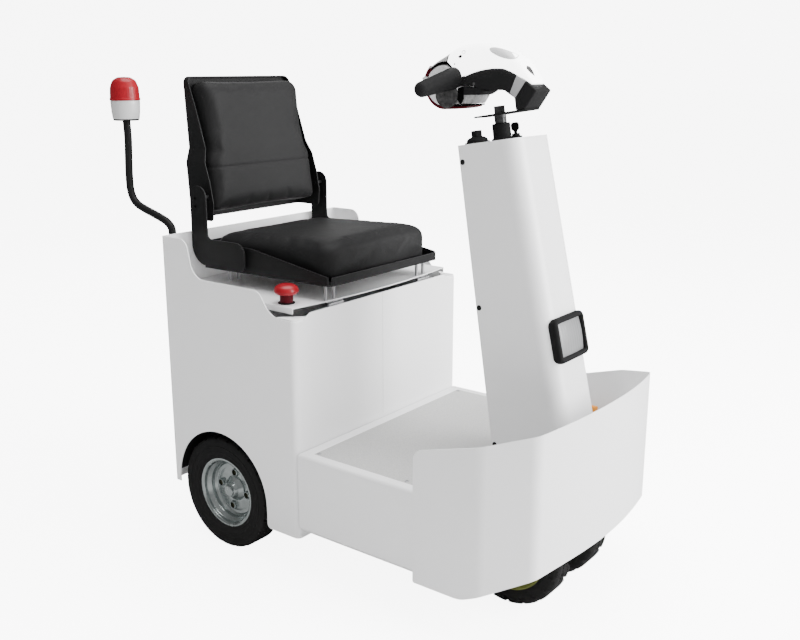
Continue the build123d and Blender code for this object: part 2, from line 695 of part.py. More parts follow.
def rear_rim(side):
    """Pressed steel rim: two flanges, a dropped middle and a deep dished disc with four bosses."""
    half = RIM_WIDTH / 2
    bead = RIM_FLANGE_R - RIM_LIP
    disc = half - DISC_SETBACK
    face = disc + RIM_SHEET
    skin = RIM_SHEET
    seat = half - 12
    drop = half - 22
    profile = [
        (bead - skin, -half, 0),
        (RIM_FLANGE_R, -half, 0),
        (RIM_FLANGE_R, -half + 1, 0),
        (bead, -half + 3, 0),
        (bead, -seat, 0),
        (RIM_WELL_R, -drop, 0),
        (RIM_WELL_R, drop, 0),
        (bead, seat, 0),
        (bead, half - 3, 0),
        (RIM_FLANGE_R, half - 1, 0),
        (RIM_FLANGE_R, half, 0),
        (bead - skin, half, 0),
        (bead - skin, seat - skin / 2, 6),
        (RIM_WELL_R - skin, drop - skin / 2, 6),
        (RIM_WELL_R - skin, face, 9),
        (HUB_R - 2, face, 0),
        (HUB_R - 2, disc, 0),
        (RIM_WELL_R - skin, disc, 0),
        (RIM_WELL_R - skin, -drop + skin / 2, 0),
        (bead - skin, -seat + skin / 2, 0),
    ]
    rim = turned_y(profile, REAR_AXLE_X, side * REAR_TYRE_Y, REAR_TYRE_R, side)
    rim += bolt_circle(side, BOSS_R, disc, face + BOSS_HEIGHT)
    return rim - bolt_circle(side, BOLT_HOLE_R, disc - 1, face + BOSS_HEIGHT + 1)


def bolt_circle(side, radius, start, end):
    """Bars along Y on the wheel's bolt circle, from start to end outward of the tyre's middle."""
    bars = Part()
    span = sorted((side * (REAR_TYRE_Y + start), side * (REAR_TYRE_Y + end)))
    for index in range(BOLT_COUNT):
        angle = math.radians(BOLT_TURN + 360 / BOLT_COUNT * index)
        x = REAR_AXLE_X + BOLT_CIRCLE_R * math.cos(angle)
        z = REAR_TYRE_R + BOLT_CIRCLE_R * math.sin(angle)
        bars += rod_y(radius, *span, x, z)
    return bars


def rear_hub(side):
    """Hub on the stub shaft: flange behind the disc, sunk wheel bolts and a waisted closed cap."""
    disc = RIM_WIDTH / 2 - DISC_SETBACK
    face = disc + RIM_SHEET
    cap = RIM_WIDTH / 2 - HUB_CAP_SETBACK
    inner = WELL_INNER_Y + SHEET + 3 - REAR_TYRE_Y
    pilot = HUB_R - 2 - RUNNING_GAP
    bore = STUB_R + RUNNING_GAP
    profile = [
        (bore, inner, 0),
        (HUB_R + 2, inner, 0),
        (HUB_R + 2, disc - HUB_FLANGE, 0),
        (HUB_FLANGE_R, disc - HUB_FLANGE, 0),
        (HUB_FLANGE_R, disc, 0),
        (pilot, disc, 0),
        (pilot, face + 2, 3),
        (HUB_CAP_R + 4, cap - HUB_SHOULDER, 4),
        (HUB_CAP_R, cap - HUB_SHOULDER + 3, 0),
        (HUB_CAP_R, cap, 2),
        (0, cap, 0),
        (0, cap - HUB_CAP_WALL, 0),
        (bore, cap - HUB_CAP_WALL, 0),
    ]
    hub = turned_y(profile, REAR_AXLE_X, side * REAR_TYRE_Y, REAR_TYRE_R, side)
    return hub + bolt_circle(side, BOLT_HOLE_R - RUNNING_GAP, disc, face + BOSS_HEIGHT - BOLT_SINK)


# Front fork and twin wheel


def front_fork():
    """Kingpin, crown and the upright between the tyres that carries the axle."""
    x = FRONT_WHEEL_X
    half = FORK_LENGTH / 2
    crown = rod_z(FORK_CROWN_R, FORK_CROWN_Z, FORK_CROWN_Z + FORK_CROWN, x)
    pin = rod_z(KINGPIN_R, FORK_CROWN_Z, UPPER_RAIL_TOP_Z + 10, x)
    upright = block(x - half, x + half, -FORK_HALF_WIDTH, FORK_HALF_WIDTH, FRONT_TYRE_R, FORK_CROWN_Z)
    upright = fillet(upright.edges().filter_by(Axis.Z), 12)
    boss = rod_y(half, -FORK_HALF_WIDTH, FORK_HALF_WIDTH, x, FRONT_TYRE_R)
    bore = rod_y(FRONT_AXLE_R + RUNNING_GAP, -100, 100, x, FRONT_TYRE_R)
    return crown + pin + upright + boss - bore


def front_tyre(side):
    """Thick solid tyre with rounded shoulders."""
    half = FRONT_TYRE_WIDTH / 2
    profile = [
        (FRONT_RIM_R - 2, -half + 8, 0),
        (FRONT_RIM_R + 1, -half + 3, 0),
        (FRONT_TYRE_R - 22, -half, 14),
        (FRONT_TYRE_R, -half + 12, 14),
        (FRONT_TYRE_R, half - 12, 14),
        (FRONT_TYRE_R - 22, half, 14),
        (FRONT_RIM_R + 1, half - 3, 0),
        (FRONT_RIM_R - 2, half - 8, 0),
    ]
    return turned_y(profile, FRONT_WHEEL_X, side * FRONT_TYRE_Y, FRONT_TYRE_R, side)


def front_rim(side):
    """Rim of a front wheel with a dished disc and a hub on the turning axle."""
    half = FRONT_TYRE_WIDTH / 2 - 8
    skin = 5
    profile = [
        (FRONT_AXLE_R, -half, 0),
        (34, -half, 0),
        (34, -6, 0),
        (FRONT_RIM_R - FRONT_RIM_LIP, -6, 0),
        (FRONT_RIM_R - FRONT_RIM_LIP, -half, 0),
        (FRONT_RIM_R - 2, -half, 0),
        (FRONT_RIM_R - 2, half, 0),
        (FRONT_RIM_R + 1, half + 5, 0),
        (FRONT_RIM_R - 4, half + 5, 0),
        (FRONT_RIM_R - FRONT_RIM_LIP, half - 2, 0),
        (FRONT_RIM_R - FRONT_RIM_LIP - 8, skin - 6, 0),
        (40, skin - 6, 0),
        (34, half - 12, 0),
        (FRONT_AXLE_R, half - 12, 0),
    ]
    return turned_y(profile, FRONT_WHEEL_X, side * FRONT_TYRE_Y, FRONT_TYRE_R, side)


def front_axle():
    """Axle that turns in the fork with both front wheels on it."""
    end = FRONT_TYRE_Y + FRONT_TYRE_WIDTH / 2 - 12
    return rod_y(FRONT_AXLE_R, -end, end, FRONT_WHEEL_X, FRONT_TYRE_R)


# Seat lid, seat and backrest
LID_TOP_Z = FRONT_TOP_Z + 31
LID_HALF_WIDTH = BOX_HALF_WIDTH - 30
LID_REAR_X = -536.0
LID_CORNER_X = -24.0
LID_NOSE_X = 4.0
LID_LIP = 17.0
LEDGE_WIDTH = 41.0
HINGE_Y = 215.0
HINGE_WIDTH = 64.0
HINGE_X = 1.5
HINGE_Z = LID_TOP_Z - 9
KNUCKLE_R = 4.5
KNUCKLE_GAP = 0.4
LEAF = 2.5
LEAF_LENGTH = 28.0
LEAF_DROP = 45.0

PAN_FRONT_X = 26.0
PAN_HALF_WIDTH = 264.0
PAN_BOTTOM_Z = LID_TOP_Z + 49
PAN_REAR_BOTTOM_Z = PAN_BOTTOM_Z - 7
PAN_LIP_Z = PAN_BOTTOM_Z + 25
PAN_KNEE_X = -286.0
PAN_REAR_Z = PAN_BOTTOM_Z + 79
PAN_REAR_X = -500.0
PAN_CORNER_SLOT = 13.0
CUSHION_FRONT_X = 22.0
CUSHION_HALF_WIDTH = 257.0
CUSHION_CREST_X = -170.0
CUSHION_TOP_Z = PAN_BOTTOM_Z + 120
CUSHION_FRONT_DROP = 16.0
CUSHION_REAR_RISE = 30.0
STUD_PLACES = ((-16.0, 204.0), (-16.0, 238.0), (-440.0, 180.0), (-440.0, 214.0))
STUD_R = 5.0
BUTTON_X = -83.0
BUTTON_Y = -(LID_HALF_WIDTH - 39)
BUTTON_R = 36.5
BUTTON_STEM_R = 19.5
BUTTON_HEIGHT = 57.0
BUTTON_CAP = 29.0

BRACKET = 4.0
BRACKET_Y = PAN_HALF_WIDTH + 16
BRACKET_REAR_X = -538.0
BRACKET_ARM = 72.0
BRACKET_FOOT_X = -304.0
BRACKET_BOTTOM_Z = PAN_BOTTOM_Z + 4
BRACKET_FOOT = 86.0
BRACKET_TOP_Z = PAN_BOTTOM_Z + 252
SPACER_R = 9.0
SPACER_XS = (-450.0, -345.0)
SPACER_Z = PAN_BOTTOM_Z + 42
PIVOT_X = -492.0
PIVOT_Z = PAN_BOTTOM_Z + 215
PIVOT_R = 6.0

# Backrest, measured from its pivot: its lower flanges stand further out than the upper part
BACK_LOW_HALF_WIDTH = 246.0
BACK_MID_HALF_WIDTH = 229.0
BACK_TOP_HALF_WIDTH = 226.0
BACK_BOTTOM = -76.0
BACK_JOG = 104.0
BACK_JOG_RUN = 43.0
BACK_TOP = 364.0
BACK_WAIST = 150.0
BACK_REAR_LOW = -82.0
BACK_REAR_WAIST = -97.0
BACK_REAR_TOP = -113.0
BACK_FLANGE_TOP = 17.0
PAD_BOTTOM = -64.0
PAD_FRONT_LOW = 22.0
PAD_FRONT_WAIST = 2.0
PAD_FRONT_TOP = -24.0
PAD_TOP_DROP = 6.0
PAD_SIDE_GAP = 2.0


def seat_plate():
    """Lid of the seat box: a flat plate with turned-down sides and a bowed front edge."""
    half = LID_HALF_WIDTH
    edge = Polyline([(LID_CORNER_X, half), (LID_REAR_X, half), (LID_REAR_X, -half), (LID_CORNER_X, -half)])
    bow = ThreePointArc((LID_CORNER_X, -half), (LID_NOSE_X, 0), (LID_CORNER_X, half))
    plate = Pos(0, 0, LID_TOP_Z - SHEET) * extrude(make_face(edge + bow), SHEET)
    for _, side in SIDES:
        low = min(side * half, side * (half - SHEET))
        high = max(side * half, side * (half - SHEET))
        plate += block(LID_REAR_X, LID_CORNER_X, low, high, LID_TOP_Z - LID_LIP, LID_TOP_Z)
    return plate


def lid_ledges():
    """Angles on the shells and the rear wall that the closed lid rests on."""
    ledges = Part()
    reach = BOX_HALF_WIDTH - SHEET
    low = LID_TOP_Z - LID_LIP - SEAT_GAP - SHEET
    inner = BOX_HALF_WIDTH - SHEET - LEDGE_WIDTH
    for _, side in SIDES:
        shelf = sorted((side * reach, side * inner))
        upright = sorted((side * reach, side * (reach - SHEET)))
        ledges += block(BOX_REAR_X + 40, FRONT_STEP_X - 20, *shelf, low, low + SHEET)
        ledges += block(BOX_REAR_X + 40, FRONT_STEP_X - 20, *upright, low - 25, low)
    return ledges


def hinge_leaves(fixed):
    """Fixed or moving halves of the two butt hinges, with interleaved knuckles."""
    leaves = Part()
    count = 3
    width = HINGE_WIDTH / count
    under_lid = LID_TOP_Z - SHEET
    behind_panel = BOX_FRONT_X - SHEET
    knuckle_bottom = HINGE_Z - KNUCKLE_R - KNUCKLE_GAP
    knuckle_rear = HINGE_X - KNUCKLE_R - KNUCKLE_GAP
    for _, side in SIDES:
        start = side * HINGE_Y - HINGE_WIDTH / 2
        end = start + HINGE_WIDTH
        if fixed:
            leaves += block(
                behind_panel - LEAF, behind_panel, start, end, knuckle_bottom - LEAF_DROP, knuckle_bottom
            )
        else:
            leaves += block(
                knuckle_rear - LEAF_LENGTH, knuckle_rear, start, end, under_lid - LEAF, under_lid
            )
        for index in range(count):
            if (index % 2 == 0) != fixed:
                continue
            low = start + index * width + KNUCKLE_GAP
            high = start + (index + 1) * width - KNUCKLE_GAP
            leaves += rod_y(KNUCKLE_R, low, high, HINGE_X, HINGE_Z)
            if fixed:
                leaves += block(behind_panel - LEAF, behind_panel, low, high, knuckle_bottom, HINGE_Z)
            else:
                leaves += block(knuckle_rear, HINGE_X, low, high, under_lid - LEAF, under_lid)
    return leaves


def emergency_button():
    """Mushroom-head stop button on the lid."""
    x, y = BUTTON_X, BUTTON_Y
    low = LID_TOP_Z
    top = low + BUTTON_HEIGHT
    ring = rod_z(BUTTON_STEM_R + 5, low, low + 4, x, y)
    stem = rod_z(BUTTON_STEM_R, low, top - BUTTON_CAP / 2, x, y)
    cap = rod_z(BUTTON_R, top - BUTTON_CAP, top, x, y)
    cap = fillet(cap.edges().group_by(Axis.Z)[-1], BUTTON_CAP * 0.55)
    cap = fillet(cap.edges().group_by(Axis.Z)[0], BUTTON_CAP * 0.3)
    return ring + stem + cap


def seat_studs():
    """Spacer studs between the lid and the seat pan."""
    studs = Part()
    slope = (PAN_BOTTOM_Z - PAN_REAR_BOTTOM_Z) / (PAN_FRONT_X - PAN_REAR_X)
    for x, y in STUD_PLACES:
        top = PAN_BOTTOM_Z - slope * (PAN_FRONT_X - x) - SEAT_GAP
        for _, side in SIDES:
            studs += rod_z(STUD_R, LID_TOP_Z, top, x, side * y)
    return studs


def seat_pan():
    """Folded tray under the cushion: a low front lip, rising sides and open front corners."""
    body = across([
        (PAN_FRONT_X, PAN_BOTTOM_Z, 0),
        (PAN_FRONT_X, PAN_LIP_Z, 0),
        (PAN_KNEE_X, PAN_REAR_Z - 4, 30),
        (PAN_REAR_X, PAN_REAR_Z, 0),
        (PAN_REAR_X, PAN_REAR_BOTTOM_Z, 0),
    ], PAN_HALF_WIDTH)
    above = PAN_REAR_Z + 100
    hollow = across([
        (PAN_FRONT_X - SHEET, PAN_BOTTOM_Z + SHEET, 0),
        (PAN_FRONT_X - SHEET, above, 0),
        (PAN_REAR_X + SHEET, above, 0),
        (PAN_REAR_X + SHEET, PAN_BOTTOM_Z + SHEET, 0),
    ], PAN_HALF_WIDTH - SHEET)
    pan = body - hollow
    for _, side in SIDES:
        corner = rounded_face([
            (PAN_FRONT_X + 1, side * (PAN_HALF_WIDTH + 1), 0),
            (PAN_FRONT_X - PAN_CORNER_SLOT, side * (PAN_HALF_WIDTH + 1), 0),
            (PAN_FRONT_X + 1, side * (PAN_HALF_WIDTH - PAN_CORNER_SLOT), 0),
        ])
        pan -= Pos(0, 0, PAN_REAR_BOTTOM_Z - 1) * extrude(corner, above - PAN_REAR_BOTTOM_Z)
    return pan


def seat_cushion():
    """Padded seat, closed and plain, standing clear inside the pan."""
    front = CUSHION_FRONT_X
    rear = PAN_REAR_X + 8
    base = PAN_BOTTOM_Z + SHEET + SEAT_GAP
    body = across([
        (front, base, 0),
        (front, CUSHION_TOP_Z - CUSHION_FRONT_DROP, 40),
        (CUSHION_CREST_X, CUSHION_TOP_Z, 0),
        (rear, PAN_REAR_Z + CUSHION_REAR_RISE, 30),
        (rear, base, 0),
    ], CUSHION_HALF_WIDTH)
    front_corners = body.edges().filter_by(Axis.Z).group_by(Axis.X)[-1]
    return fillet(front_corners, 30)


def seat_brackets():
    """Two L brackets outside the pan on spacers, each with a pivot pin of the backrest."""
    front = BRACKET_REAR_X + BRACKET_ARM
    foot_top = BRACKET_BOTTOM_Z + BRACKET_FOOT
    plate = rounded_face([
        (BRACKET_REAR_X, BRACKET_BOTTOM_Z, 62),
        (BRACKET_FOOT_X, BRACKET_BOTTOM_Z, 20),
        (BRACKET_FOOT_X, foot_top, 36),
        (front, foot_top, 16),
        (front, BRACKET_TOP_Z, BRACKET_ARM / 2 - 1),
        (BRACKET_REAR_X, BRACKET_TOP_Z, BRACKET_ARM / 2 - 1),
    ], Plane.XZ)
    both = Part()
    for _, side in SIDES:
        both += Pos(0, side * BRACKET_Y, 0) * extrude(plate, amount=side * BRACKET)
        inner = side * (BRACKET_Y - BRACKET)
        for x in SPACER_XS:
            both += rod_y(SPACER_R, *sorted((side * PAN_HALF_WIDTH, inner)), x, SPACER_Z)
        pin_end = side * (BACK_LOW_HALF_WIDTH - SHEET - 1)
        both += rod_y(PIVOT_R, *sorted((pin_end, inner)), PIVOT_X, PIVOT_Z)
    return both


def from_pivot(points):
    """Corners (x, z, rounding) measured from the backrest's pivot, as places on the tug."""
    return [(PIVOT_X + x, PIVOT_Z + z, rounding) for x, z, rounding in points]


def back_rear_x(z):
    """Rear edge of the backrest at a height: one straight line below the waist, one above."""
    x_end, z_end = (BACK_REAR_LOW, BACK_BOTTOM) if z < BACK_WAIST else (BACK_REAR_TOP, BACK_TOP)
    share = (z - z_end) / (BACK_WAIST - z_end)
    return x_end + share * (BACK_REAR_WAIST - x_end)


def back_rear_line(bottom, top, inset):
    """Corners of the backrest's rear edge from bottom to top, moved forward by inset."""
    return [
        (back_rear_x(bottom) + inset, bottom, 0),
        (BACK_REAR_WAIST + inset, BACK_WAIST, 80),
        (back_rear_x(top) + inset, top, 0),
    ]


def back_front_view(inset):
    """Everything inside the backrest's outline in Y and Z, moved in by inset."""
    low = BACK_LOW_HALF_WIDTH - inset
    mid = BACK_MID_HALF_WIDTH - inset
    top = BACK_TOP_HALF_WIDTH - inset
    left = [(low, BACK_JOG, 14), (mid, BACK_JOG + BACK_JOG_RUN, 14), (top, BACK_TOP - inset, 22)]
    right = [(-y, z, rounding) for y, z, rounding in reversed(left)]
    below = [(-low, BACK_BOTTOM - 10, 0), (low, BACK_BOTTOM - 10, 0)]
    corners = [(y, PIVOT_Z + z, rounding) for y, z, rounding in below + left + right]
    return extrude(rounded_face(corners, Plane.YZ), amount=2 * BACK_TOP, both=True)


def back_pan():
    """Pressed metal back of the backrest: a shallow tray whose flanges widen to the pivot pins."""
    flange = [
        (BACK_REAR_TOP + BACK_FLANGE_TOP, BACK_TOP, 4),
        (-58, 263, 80),
        (-22, 150, 60),
        (10, 47, 60),
        (23, -20, 30),
        (18, BACK_BOTTOM, 12),
    ]
    rear = back_rear_line(BACK_BOTTOM, BACK_TOP, 0)
    body = across(from_pivot(rear + flange), BACK_LOW_HALF_WIDTH)
    open_front = [(BACK_TOP, BACK_TOP, 0), (BACK_TOP, 2 * BACK_BOTTOM, 0)]
    inside = back_rear_line(2 * BACK_BOTTOM, BACK_TOP, SHEET)
    hollow = across(from_pivot(inside + open_front), BACK_LOW_HALF_WIDTH)
    pan = (body & back_front_view(0)) - (hollow & back_front_view(SHEET))
    reach = BRACKET_Y
    return pan - rod_y(PIVOT_R + RUNNING_GAP, -reach, reach, PIVOT_X, PIVOT_Z)


def back_cushion():
    """Padded backrest with a straight face that leans back, thickest at the small of the back."""
    top = BACK_TOP - PAD_TOP_DROP
    outline = across(from_pivot(back_rear_line(PAD_BOTTOM, top, SHEET + SEAT_GAP) + [
        (PAD_FRONT_TOP, top, 24),
        (PAD_FRONT_WAIST, BACK_WAIST, 80),
        (PAD_FRONT_LOW, PAD_BOTTOM + 40, 60),
        (PAD_FRONT_LOW - 2, PAD_BOTTOM, 20),
    ]), BACK_LOW_HALF_WIDTH)
    return outline & back_front_view(SHEET + PAD_SIDE_GAP)


# Beacon on a bent pole behind the rear panel
POLE_R = 12.0
POLE_Y = -(BOX_HALF_WIDTH - 61)
POLE_FOOT_Z = REAR_TOP_Z - 201
POLE_BEND_Z = REAR_TOP_Z + 3
POLE_ELBOW_X = -708.0
POLE_ELBOW_Z = REAR_TOP_Z + 63
POLE_BEND_R = 48.0
BEACON_X = -749.0
BEACON_R = 47.0
POLE_TOP_Z = REAR_TOP_Z + 337
BEACON_BASE_TOP_Z = POLE_TOP_Z + 66
BEACON_TOP_Z = BEACON_BASE_TOP_Z + 67
POLE_STANDOFF = 2.0
CLAMP_LEVELS = (REAR_TOP_Z - 161, REAR_TOP_Z - 61)
CLAMP_HALF_WIDTH = 30.0
CLAMP_HEIGHT = 20.0
CLAMP_WALL = 4.0


def beacon_pole():
    """Bent tube that rises behind the rear panel, with two clamps and a top plate."""
    x = BOX_REAR_X - POLE_STANDOFF - POLE_R
    points = [
        (x, POLE_Y, POLE_FOOT_Z), (x, POLE_Y, POLE_BEND_Z),
        (POLE_ELBOW_X, POLE_Y, POLE_ELBOW_Z), (BEACON_X, POLE_Y, POLE_TOP_Z),
    ]
    path = FilletPolyline(points, radius=POLE_BEND_R)
    section = Plane(origin=points[0], z_dir=(0, 0, 1)) * Circle(POLE_R)
    pole = sweep(section, path)
    for level in CLAMP_LEVELS:
        clamp = block(
            x - POLE_R - CLAMP_WALL, BOX_REAR_X, POLE_Y - CLAMP_HALF_WIDTH, POLE_Y + CLAMP_HALF_WIDTH,
            level - CLAMP_HEIGHT / 2, level + CLAMP_HEIGHT / 2,
        )
        pole += fillet(clamp.edges().filter_by(Axis.Z), 3)
    return pole + rod_z(BEACON_R - 8, POLE_TOP_Z - 2, POLE_TOP_Z + 3, BEACON_X, POLE_Y)


def beacon_base():
    """Tapered white base of the beacon."""
    low = POLE_TOP_Z + 3
    height = BEACON_BASE_TOP_Z - low
    base = Cone(BEACON_R - 5, BEACON_R - 1, height, align=(Align.CENTER, Align.CENTER, Align.MIN))
    return Pos(BEACON_X, POLE_Y, low) * base


def beacon_lens():
    """Domed lens."""
    height = BEACON_TOP_Z - BEACON_BASE_TOP_Z
    lens = Pos(BEACON_X, POLE_Y, BEACON_BASE_TOP_Z + height / 2) * Cylinder(BEACON_R, height)
    return fillet(lens.edges().group_by(Axis.Z)[-1], 26)


# Tiller head, in the column's frame
HEAD_HALF_WIDTH = 46.0
HEAD_EDGE_R = 18.0
ARM_HALF_WIDTH = 40.0
PLATE_REAR = -62.0
PLATE_FRONT = 103.0
DRUM_X = -144.5
DRUM_Z = 167.5
DRUM_R = 59.0
DRUM_GAP = 0.3
BELLY = 6.5
BELLY_HALF_WIDTH = 36.0
BELLY_START = 123.0
BELLY_END = 270.0
BELLY_TAIL = 62.0
GRIP_ROOT = (-108.0, 176.0)
GRIP_END = (-139.0, 158.0)
GRIP_ROOT_Y = 14.0
GRIP_END_Y = 156.0
GRIP_ROOT_R = 28.0
GRIP_END_R = 18.5
ARM_TOP = ((87.0, 158.5, 30), (43.0, 186.0, 60), (-7.0, 191.0, 60), (-92.0, 178.0, 0))
ARM_UNDERSIDE = (
    (-108.0, 160.0, 0), (-74.0, 154.0, 30), (-17.0, 135.0, 40), (46.0, 125.5, 30), (73.0, 101.0, 6),
)
SHELL_CREST = (
    (116.0, 142.0, 0), (100.0, 186.0, 60), (30.0, 252.0, 110), (-76.0, 268.0, 90), (-177.0, 226.0, 6),
    (-177.0, 200.0, 0),
)
SHELL_GAP = 0.5
HOOD_EDGE_Z = 205.0


def drum_bar(radius, half_width):
    """Cylinder along Y at the head's nose."""
    return rod_y(radius, -half_width, half_width, DRUM_X, DRUM_Z)


def tiller_plate():
    """Flat plate clamped on the shaft that carries the head."""
    z = TILLER_PLATE_Z
    half = ARM_HALF_WIDTH
    plate = block(PLATE_REAR, PLATE_FRONT, -half, half, z, z + TILLER_PLATE)
    plate = fillet(plate.edges().filter_by(Axis.Z), 10)
    return COLUMN.location * (plate - rod_z(SHAFT_R + 0.02, z - 1, z + 10))


def tiller_arm():
    """Gooseneck from the plate's front end up and back to the head, with a wedge-shaped end."""
    z = TILLER_PLATE_Z + TILLER_PLATE
    end = ((73.0, z, 0), (102.0, z, 0), (140.5, 112.0, 3), (111.5, 141.5, 3))
    arm = across(list(end + ARM_TOP + ARM_UNDERSIDE), ARM_HALF_WIDTH)
    return COLUMN.location * (arm - drum_bar(DRUM_R + DRUM_GAP, 2 * HEAD_HALF_WIDTH))


def tiller_cover():
    """Domed shell that follows the arm's back and ends in a flat hood over the drum."""
    seat = [(x, z + SHELL_GAP, rounding) for x, z, rounding in reversed(ARM_TOP)]
    hood = [(DRUM_X + 20, DRUM_Z + 20, 0)]
    shell = across(list(SHELL_CREST) + hood + seat + [(111.5, 142.0, 0)], HEAD_HALF_WIDTH)
    top = shell.edges().filter_by(
        lambda e: abs(abs(e.center().Y) - HEAD_HALF_WIDTH) < 0.01 and e.center().Z > HOOD_EDGE_Z
    )
    shell = fillet(top, HEAD_EDGE_R)
    return COLUMN.location * (shell - drum_bar(DRUM_R + DRUM_GAP, 2 * HEAD_HALF_WIDTH))


def tiller_drum():
    """Round nose of the head with the lower housing behind it."""
    drum = drum_bar(DRUM_R, HEAD_HALF_WIDTH)
    housing = across([
        (DRUM_X, 112, 0), (-90, 108, 6), (-65, 126, 6), (-66, 150, 0), (DRUM_X, 154, 0),
    ], ARM_HALF_WIDTH - 4)
    return COLUMN.location * (drum + housing - (COLUMN.location.inverse() * tiller_arm()))


def belly_switch():
    """Curved push pad on the driver's side of the nose, with a flat tail under the housing."""
    ring = drum_bar(DRUM_R + BELLY, BELLY_HALF_WIDTH) - drum_bar(DRUM_R, 2 * BELLY_HALF_WIDTH)
    far = 4 * DRUM_R
    rays = []
    for angle in (BELLY_START, 180.0, 225.0, BELLY_END):
        turn = math.radians(angle)
        rays.append((DRUM_X + far * math.cos(turn), DRUM_Z + far * math.sin(turn), 0))
    low = across([(DRUM_X, DRUM_Z, 0)] + rays, 2 * BELLY_HALF_WIDTH)
    bottom = DRUM_Z - DRUM_R - BELLY
    tail = across([
        (DRUM_X, bottom, 0), (DRUM_X + BELLY_TAIL, bottom - BELLY, 3),
        (DRUM_X + BELLY_TAIL, bottom, 2), (DRUM_X, bottom + BELLY, 0),
    ], BELLY_HALF_WIDTH)
    return COLUMN.location * ((ring & low) + (tail - drum_bar(DRUM_R, 2 * BELLY_HALF_WIDTH)))


def tiller_grips():
    """Tapered handle on each side of the head."""
    grips = Part()
    for _, side in SIDES:
        root = Vector(GRIP_ROOT[0], side * GRIP_ROOT_Y, GRIP_ROOT[1])
        end = Vector(GRIP_END[0], side * GRIP_END_Y, GRIP_END[1])
        along = end - root
        cone = Cone(GRIP_ROOT_R, GRIP_END_R, along.length, align=(Align.CENTER, Align.CENTER, Align.MIN))
        place = Plane(origin=root, z_dir=along)
        grip = place.location * cone + Pos(*end) * Sphere(GRIP_END_R)
        keep = sorted((side * HEAD_HALF_WIDTH, side * 2 * GRIP_END_Y))
        grips += grip & block(-400, 200, *keep, 0, 400)
    return COLUMN.location * grips


def all_nodes():
    """Every piece by its name."""
    nodes = {
        "chassis_frame": chassis_frame(),
        "lid_ledges": lid_ledges(),
        "rear_panel": rear_panel(),
        "deck_pan": deck_pan(),
        "deck_plate": deck_plate(),
        "front_skirt": front_skirt(),
        "column_cover": column_cover(),
        "column_back": column_back(),
        "column_top_plate": column_top_plate(),
        "steering_bearing": steering_bearing(),
        "direction_switch": direction_switch(),
        "key_switch": key_switch(),
        "headlight_housing": headlight_housing(),
        "headlight_lens": headlight_lens(),
        "kingpin_bearing": kingpin_bearing(),
        "rear_axle": rear_axle(),
        "drive_motor": drive_motor(),
        "battery_pack": battery_pack(),
        "tow_jaw": tow_jaw(),
        "beacon_pole": beacon_pole(),
        "beacon_base": beacon_base(),
        "beacon_lens": beacon_lens(),
        "hinge_fixed": hinge_leaves(True),
        "hinge_moving": hinge_leaves(False),
        "seat_plate": seat_plate(),
        "seat_studs": seat_studs(),
        "seat_pan": seat_pan(),
        "seat_brackets": seat_brackets(),
        "seat_cushion": seat_cushion(),
        "emergency_button": emergency_button(),
        "back_pan": back_pan(),
        "back_cushion": back_cushion(),
        "steering_shaft": steering_shaft(),
        "tiller_plate": tiller_plate(),
        "tiller_arm": tiller_arm(),
        "tiller_cover": tiller_cover(),
        "tiller_drum": tiller_drum(),
        "belly_switch": belly_switch(),
        "tiller_grips": tiller_grips(),
        "front_fork": front_fork(),
        "front_axle": front_axle(),
    }
    for name, side in SIDES:
        nodes["body_shell_" + name] = body_shell(side)
        nodes["wheel_well_" + name] = wheel_well(side)
        nodes["rear_tyre_" + name] = rear_tyre(side)
        nodes["rear_rim_" + name] = rear_rim(side)
        nodes["rear_hub_" + name] = rear_hub(side)
        nodes["front_tyre_" + name] = front_tyre(side)
        nodes["front_rim_" + name] = front_rim(side)
    return nodes


os.makedirs("parts", exist_ok=True)
for node_name, node_shape in all_nodes().items():
    export_step(node_shape, "parts/" + node_name + ".step")
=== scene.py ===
"""Airport baggage tug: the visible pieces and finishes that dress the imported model."""

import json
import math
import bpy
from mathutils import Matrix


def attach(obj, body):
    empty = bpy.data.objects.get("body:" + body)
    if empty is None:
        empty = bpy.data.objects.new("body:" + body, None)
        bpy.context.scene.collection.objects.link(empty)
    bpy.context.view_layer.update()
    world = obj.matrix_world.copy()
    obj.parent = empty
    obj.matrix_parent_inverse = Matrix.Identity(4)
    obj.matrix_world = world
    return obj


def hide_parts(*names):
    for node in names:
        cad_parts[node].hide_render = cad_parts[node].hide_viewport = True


bl_info = {
    "name": "Airport Baggage Tug",
    "version": (1, 0, 0),
    "blender": (4, 5, 0),
    "location": "View3D > Sidebar > Tug",
    "description": "Builds the tug's wheels, seat, tiller head, fittings and finishes around its frame",
    "category": "Object",
}

import bpy
import numpy as np
from bpy.props import FloatProperty, FloatVectorProperty, IntProperty, PointerProperty
from mathutils import Vector

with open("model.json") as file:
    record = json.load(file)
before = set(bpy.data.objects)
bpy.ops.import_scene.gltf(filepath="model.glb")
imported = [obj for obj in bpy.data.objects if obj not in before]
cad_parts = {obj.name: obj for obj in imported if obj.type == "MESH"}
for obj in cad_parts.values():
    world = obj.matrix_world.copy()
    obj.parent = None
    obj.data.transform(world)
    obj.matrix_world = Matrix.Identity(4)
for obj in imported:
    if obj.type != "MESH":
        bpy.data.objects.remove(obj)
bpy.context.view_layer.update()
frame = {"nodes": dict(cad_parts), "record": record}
MM = 0.001
SIDES = (("right", -1), ("left", 1))
MIDDLE = (0, 0, 0)
FORWARD, ACROSS, UP = (1, 0, 0), (0, 1, 0), (0, 0, 1)

# The steering column leans back; its own frame has the steering axis as Z.
LEAN_DEGREES = 9.0
LEAN = math.radians(LEAN_DEGREES)
COLUMN_ORIGIN = np.array((424.0, 0.0, 1279.0))
COLUMN_X = np.array((math.cos(LEAN), 0.0, math.sin(LEAN)))
COLUMN_Y = np.array((0.0, 1.0, 0.0))
COLUMN_Z = np.array((-math.sin(LEAN), 0.0, math.cos(LEAN)))

